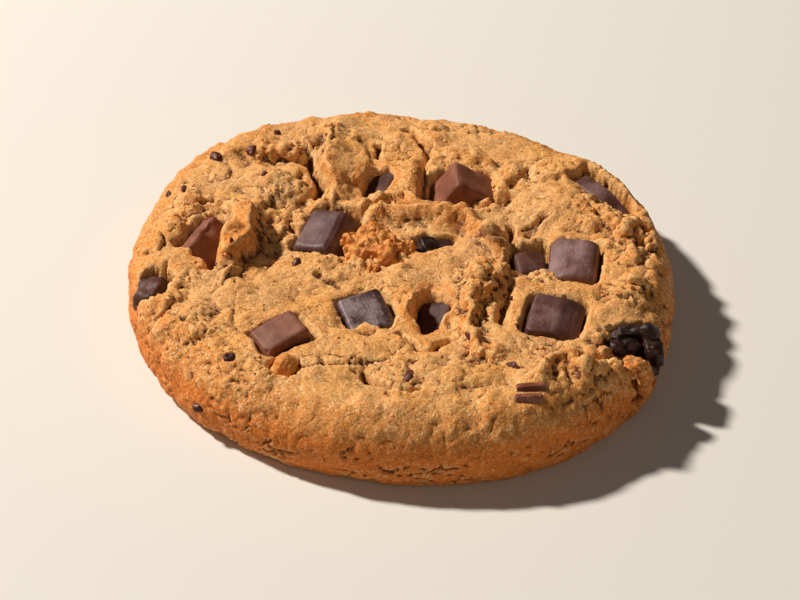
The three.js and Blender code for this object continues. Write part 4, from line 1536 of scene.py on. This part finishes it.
def chocolate_finish(name, deep, light, bloom_and_sheen, roughness, dust_share=0.0, streaks=True, sheen_film=0.0):
    deep, light, bloom_and_sheen = shade(*deep), shade(*light), shade(*bloom_and_sheen)
    f = Finish(name)
    patches = f.noise(3.5, 3)
    fine = f.noise(0.45, 3)
    colour = f.blend(patches.between(0.35, 0.7), deep, light)
    height = fine
    if streaks:
        across = f.stored("across")
        along = f.stored("along")
        places = {"X": across * STREAK_WIDTH, "Y": along * STREAK_LENGTH}
        lines = f.node("CombineXYZ", {}, places)
        streak = f.node("TexNoise", {}, {"Vector": lines, "Scale": 1.6, "Detail": 4})
        colour = f.blend(streak.between(0.45, 0.75) * 0.35, colour, light)
        # Edges painted a little paler: partly rubbed wear, partly a painted highlight.
        colour = f.blend(f.stored("edge").between(0.05, 0.4) * 0.35, colour, light)
        height = fine * 0.6 + streak * 0.8
        # Painted sheen along with bloom: grey smears over the block, fading out towards one side, so
        # its lit faces look silvery.
        sheen_smears = (streak * 0.4 + patches).between(0.55, 0.95) * across.between(2.6, 1.2)
        colour = f.blend(sheen_smears * sheen_film, colour, bloom_and_sheen)
    dust = (fine + patches * 0.4).between(0.72 - dust_share, 0.95 - dust_share)
    colour = f.blend(dust * 0.5, colour, bloom_and_sheen)
    return f.surface({
        "Base Color": colour,
        "Roughness": fine.between(0.3, 0.7) * 0.16 + roughness,
        "Specular IOR Level": 0.32,
        "Normal": f.bump(height, CHOCOLATE_BUMP),
    })


# %% Eight chocolates: deep, light and bloom-and-sheen colour, roughness and the rest
CHOCOLATES = {
    "milk_chocolate": ((112, 62, 42), (140, 84, 60), (160, 110, 90), 0.5),
    # Dark, bloomed and dusty: the last number is how much painted sheen is smeared on the block.
    "dark_chocolate": ((80, 46, 38), (108, 71, 64), (132, 108, 108), 0.42, 0.0, True, 0.2),
    "bloomed_sheen_chocolate": ((62, 36, 32), (86, 58, 56), (158, 138, 140), 0.34, 0.02, True, 0.8),
    "dusty_sheen_chocolate": ((98, 62, 54), (128, 92, 86), (156, 126, 122), 0.48, 0.02, True, 0.3),
    # A darker copy of milk chocolate; on the chunks down in holes it is painted shade.
    "deep_shaded_chocolate": ((60, 29, 20), (84, 44, 31), (116, 76, 58), 0.5),
    "melted_chocolate": ((32, 14, 10), (54, 26, 19), (92, 58, 46), 0.38, 0.0, False),
    "chip_chocolate": ((66, 28, 18), (100, 48, 30), (132, 76, 54), 0.4, 0.0, False),
    "sliver_chocolate": ((104, 52, 34), (150, 92, 68), (190, 140, 116), 0.36, 0.0, False),
}
for name, look in CHOCOLATES.items():
    finishes[name] = chocolate_finish(name, *look)
print("finishes:", list(finishes))

# %% Which chunk has a finish other than its slot's
LOOKS = {
    "chunk_dark_middle": "bloomed_sheen_chocolate",
    "chunk_rounded_right": "dusty_sheen_chocolate",
    "chunk_glossy_middle": "melted_chocolate",
    "chunk_glossy_rim": "melted_chocolate",
    # Painted shade: the milk chunks in holes and the sunken one take the darker copy; on the
    # crumpled rim chunk it is its own colour.
    "chunk_hole_back": "deep_shaded_chocolate",
    "chunk_hole_front": "deep_shaded_chocolate",
    "chunk_crumpled_rim": "deep_shaded_chocolate",
    "chunk_milk_sunken": "deep_shaded_chocolate",
}
for name, piece in chunks.items():
    piece.data.materials.append(finishes[LOOKS.get(name, slot_of(name))])
chips.data.materials.append(finishes["chip_chocolate"])
slivers.data.materials.append(finishes["sliver_chocolate"])
print("chunks with a finish:", len(chunks))

# %% [markdown]
# ## Camera, floor and light
# The camera looks down at the cookie from the front, as a person at a table would. One key light
# from the back left draws every fold, and a broad fill keeps the shadows soft.

# %% Camera
CAMERA_RISE = math.radians(38)
CAMERA_DISTANCE = 364.9
LENS = 100
SENSOR_WIDTH = 36
AIM = Vector((0, -5.1, 6))
scene = bpy.context.scene
lens = bpy.data.cameras.new("camera")
lens.lens = LENS
lens.sensor_width = SENSOR_WIDTH
camera = bpy.data.objects.new("camera", lens)
scene.collection.objects.link(camera)
back = Vector((0, -math.cos(CAMERA_RISE), math.sin(CAMERA_RISE)))
camera.location = (AIM + OUTLINE_MIDDLE + back * CAMERA_DISTANCE) * MM
camera.rotation_euler = (-back).to_track_quat("-Z", "Y").to_euler()
scene.camera = camera
print("camera at", camera.location)

# %% Floor
FLOOR_SIZE = 3.0
FLOOR_COLOUR = shade(226, 220, 210)
floor_shape = bmesh.new()
bmesh.ops.create_grid(floor_shape, x_segments=1, y_segments=1, size=FLOOR_SIZE)
floor_mesh = bpy.data.meshes.new("floor")
floor_shape.to_mesh(floor_mesh)
floor_shape.free()
floor = bpy.data.objects.new("floor", floor_mesh)
scene.collection.objects.link(floor)
f = Finish("floor")
floor_mesh.materials.append(f.surface({"Base Color": FLOOR_COLOUR, "Roughness": 0.8}))
print("floor:", FLOOR_SIZE, "m")


# %% Lights
def area_light(name, direction, distance, size, power, colour):
    lamp = bpy.data.lights.new(name, "AREA")
    lamp.shape = "DISK"
    lamp.size = size
    lamp.energy = power
    lamp.color = colour
    holder = bpy.data.objects.new(name, lamp)
    scene.collection.objects.link(holder)
    way = Vector(direction).normalized()
    holder.location = way * distance
    holder.rotation_euler = (-way).to_track_quat("-Z", "Y").to_euler()


area_light(
    "key", direction=(-0.65, 0.3, 0.7), distance=1.3, size=0.12, power=24, colour=(1.0, 0.96, 0.9)
)
area_light(
    "fill", direction=(0.3, -0.85, 0.5), distance=1.2, size=1.2, power=1.7,
    colour=(1.0, 0.91, 0.78),
)

# %% Light from all round
SKY_COLOUR = (1.0, 0.98, 0.95, 1)
SKY_STRENGTH = 0.055
world = bpy.data.worlds.new("world")
world.use_nodes = True
sky = world.node_tree.nodes["Background"].inputs
sky["Color"].default_value = SKY_COLOUR
sky["Strength"].default_value = SKY_STRENGTH
scene.world = world
scene.view_settings.view_transform = "Standard"
print("sky:", SKY_STRENGTH)
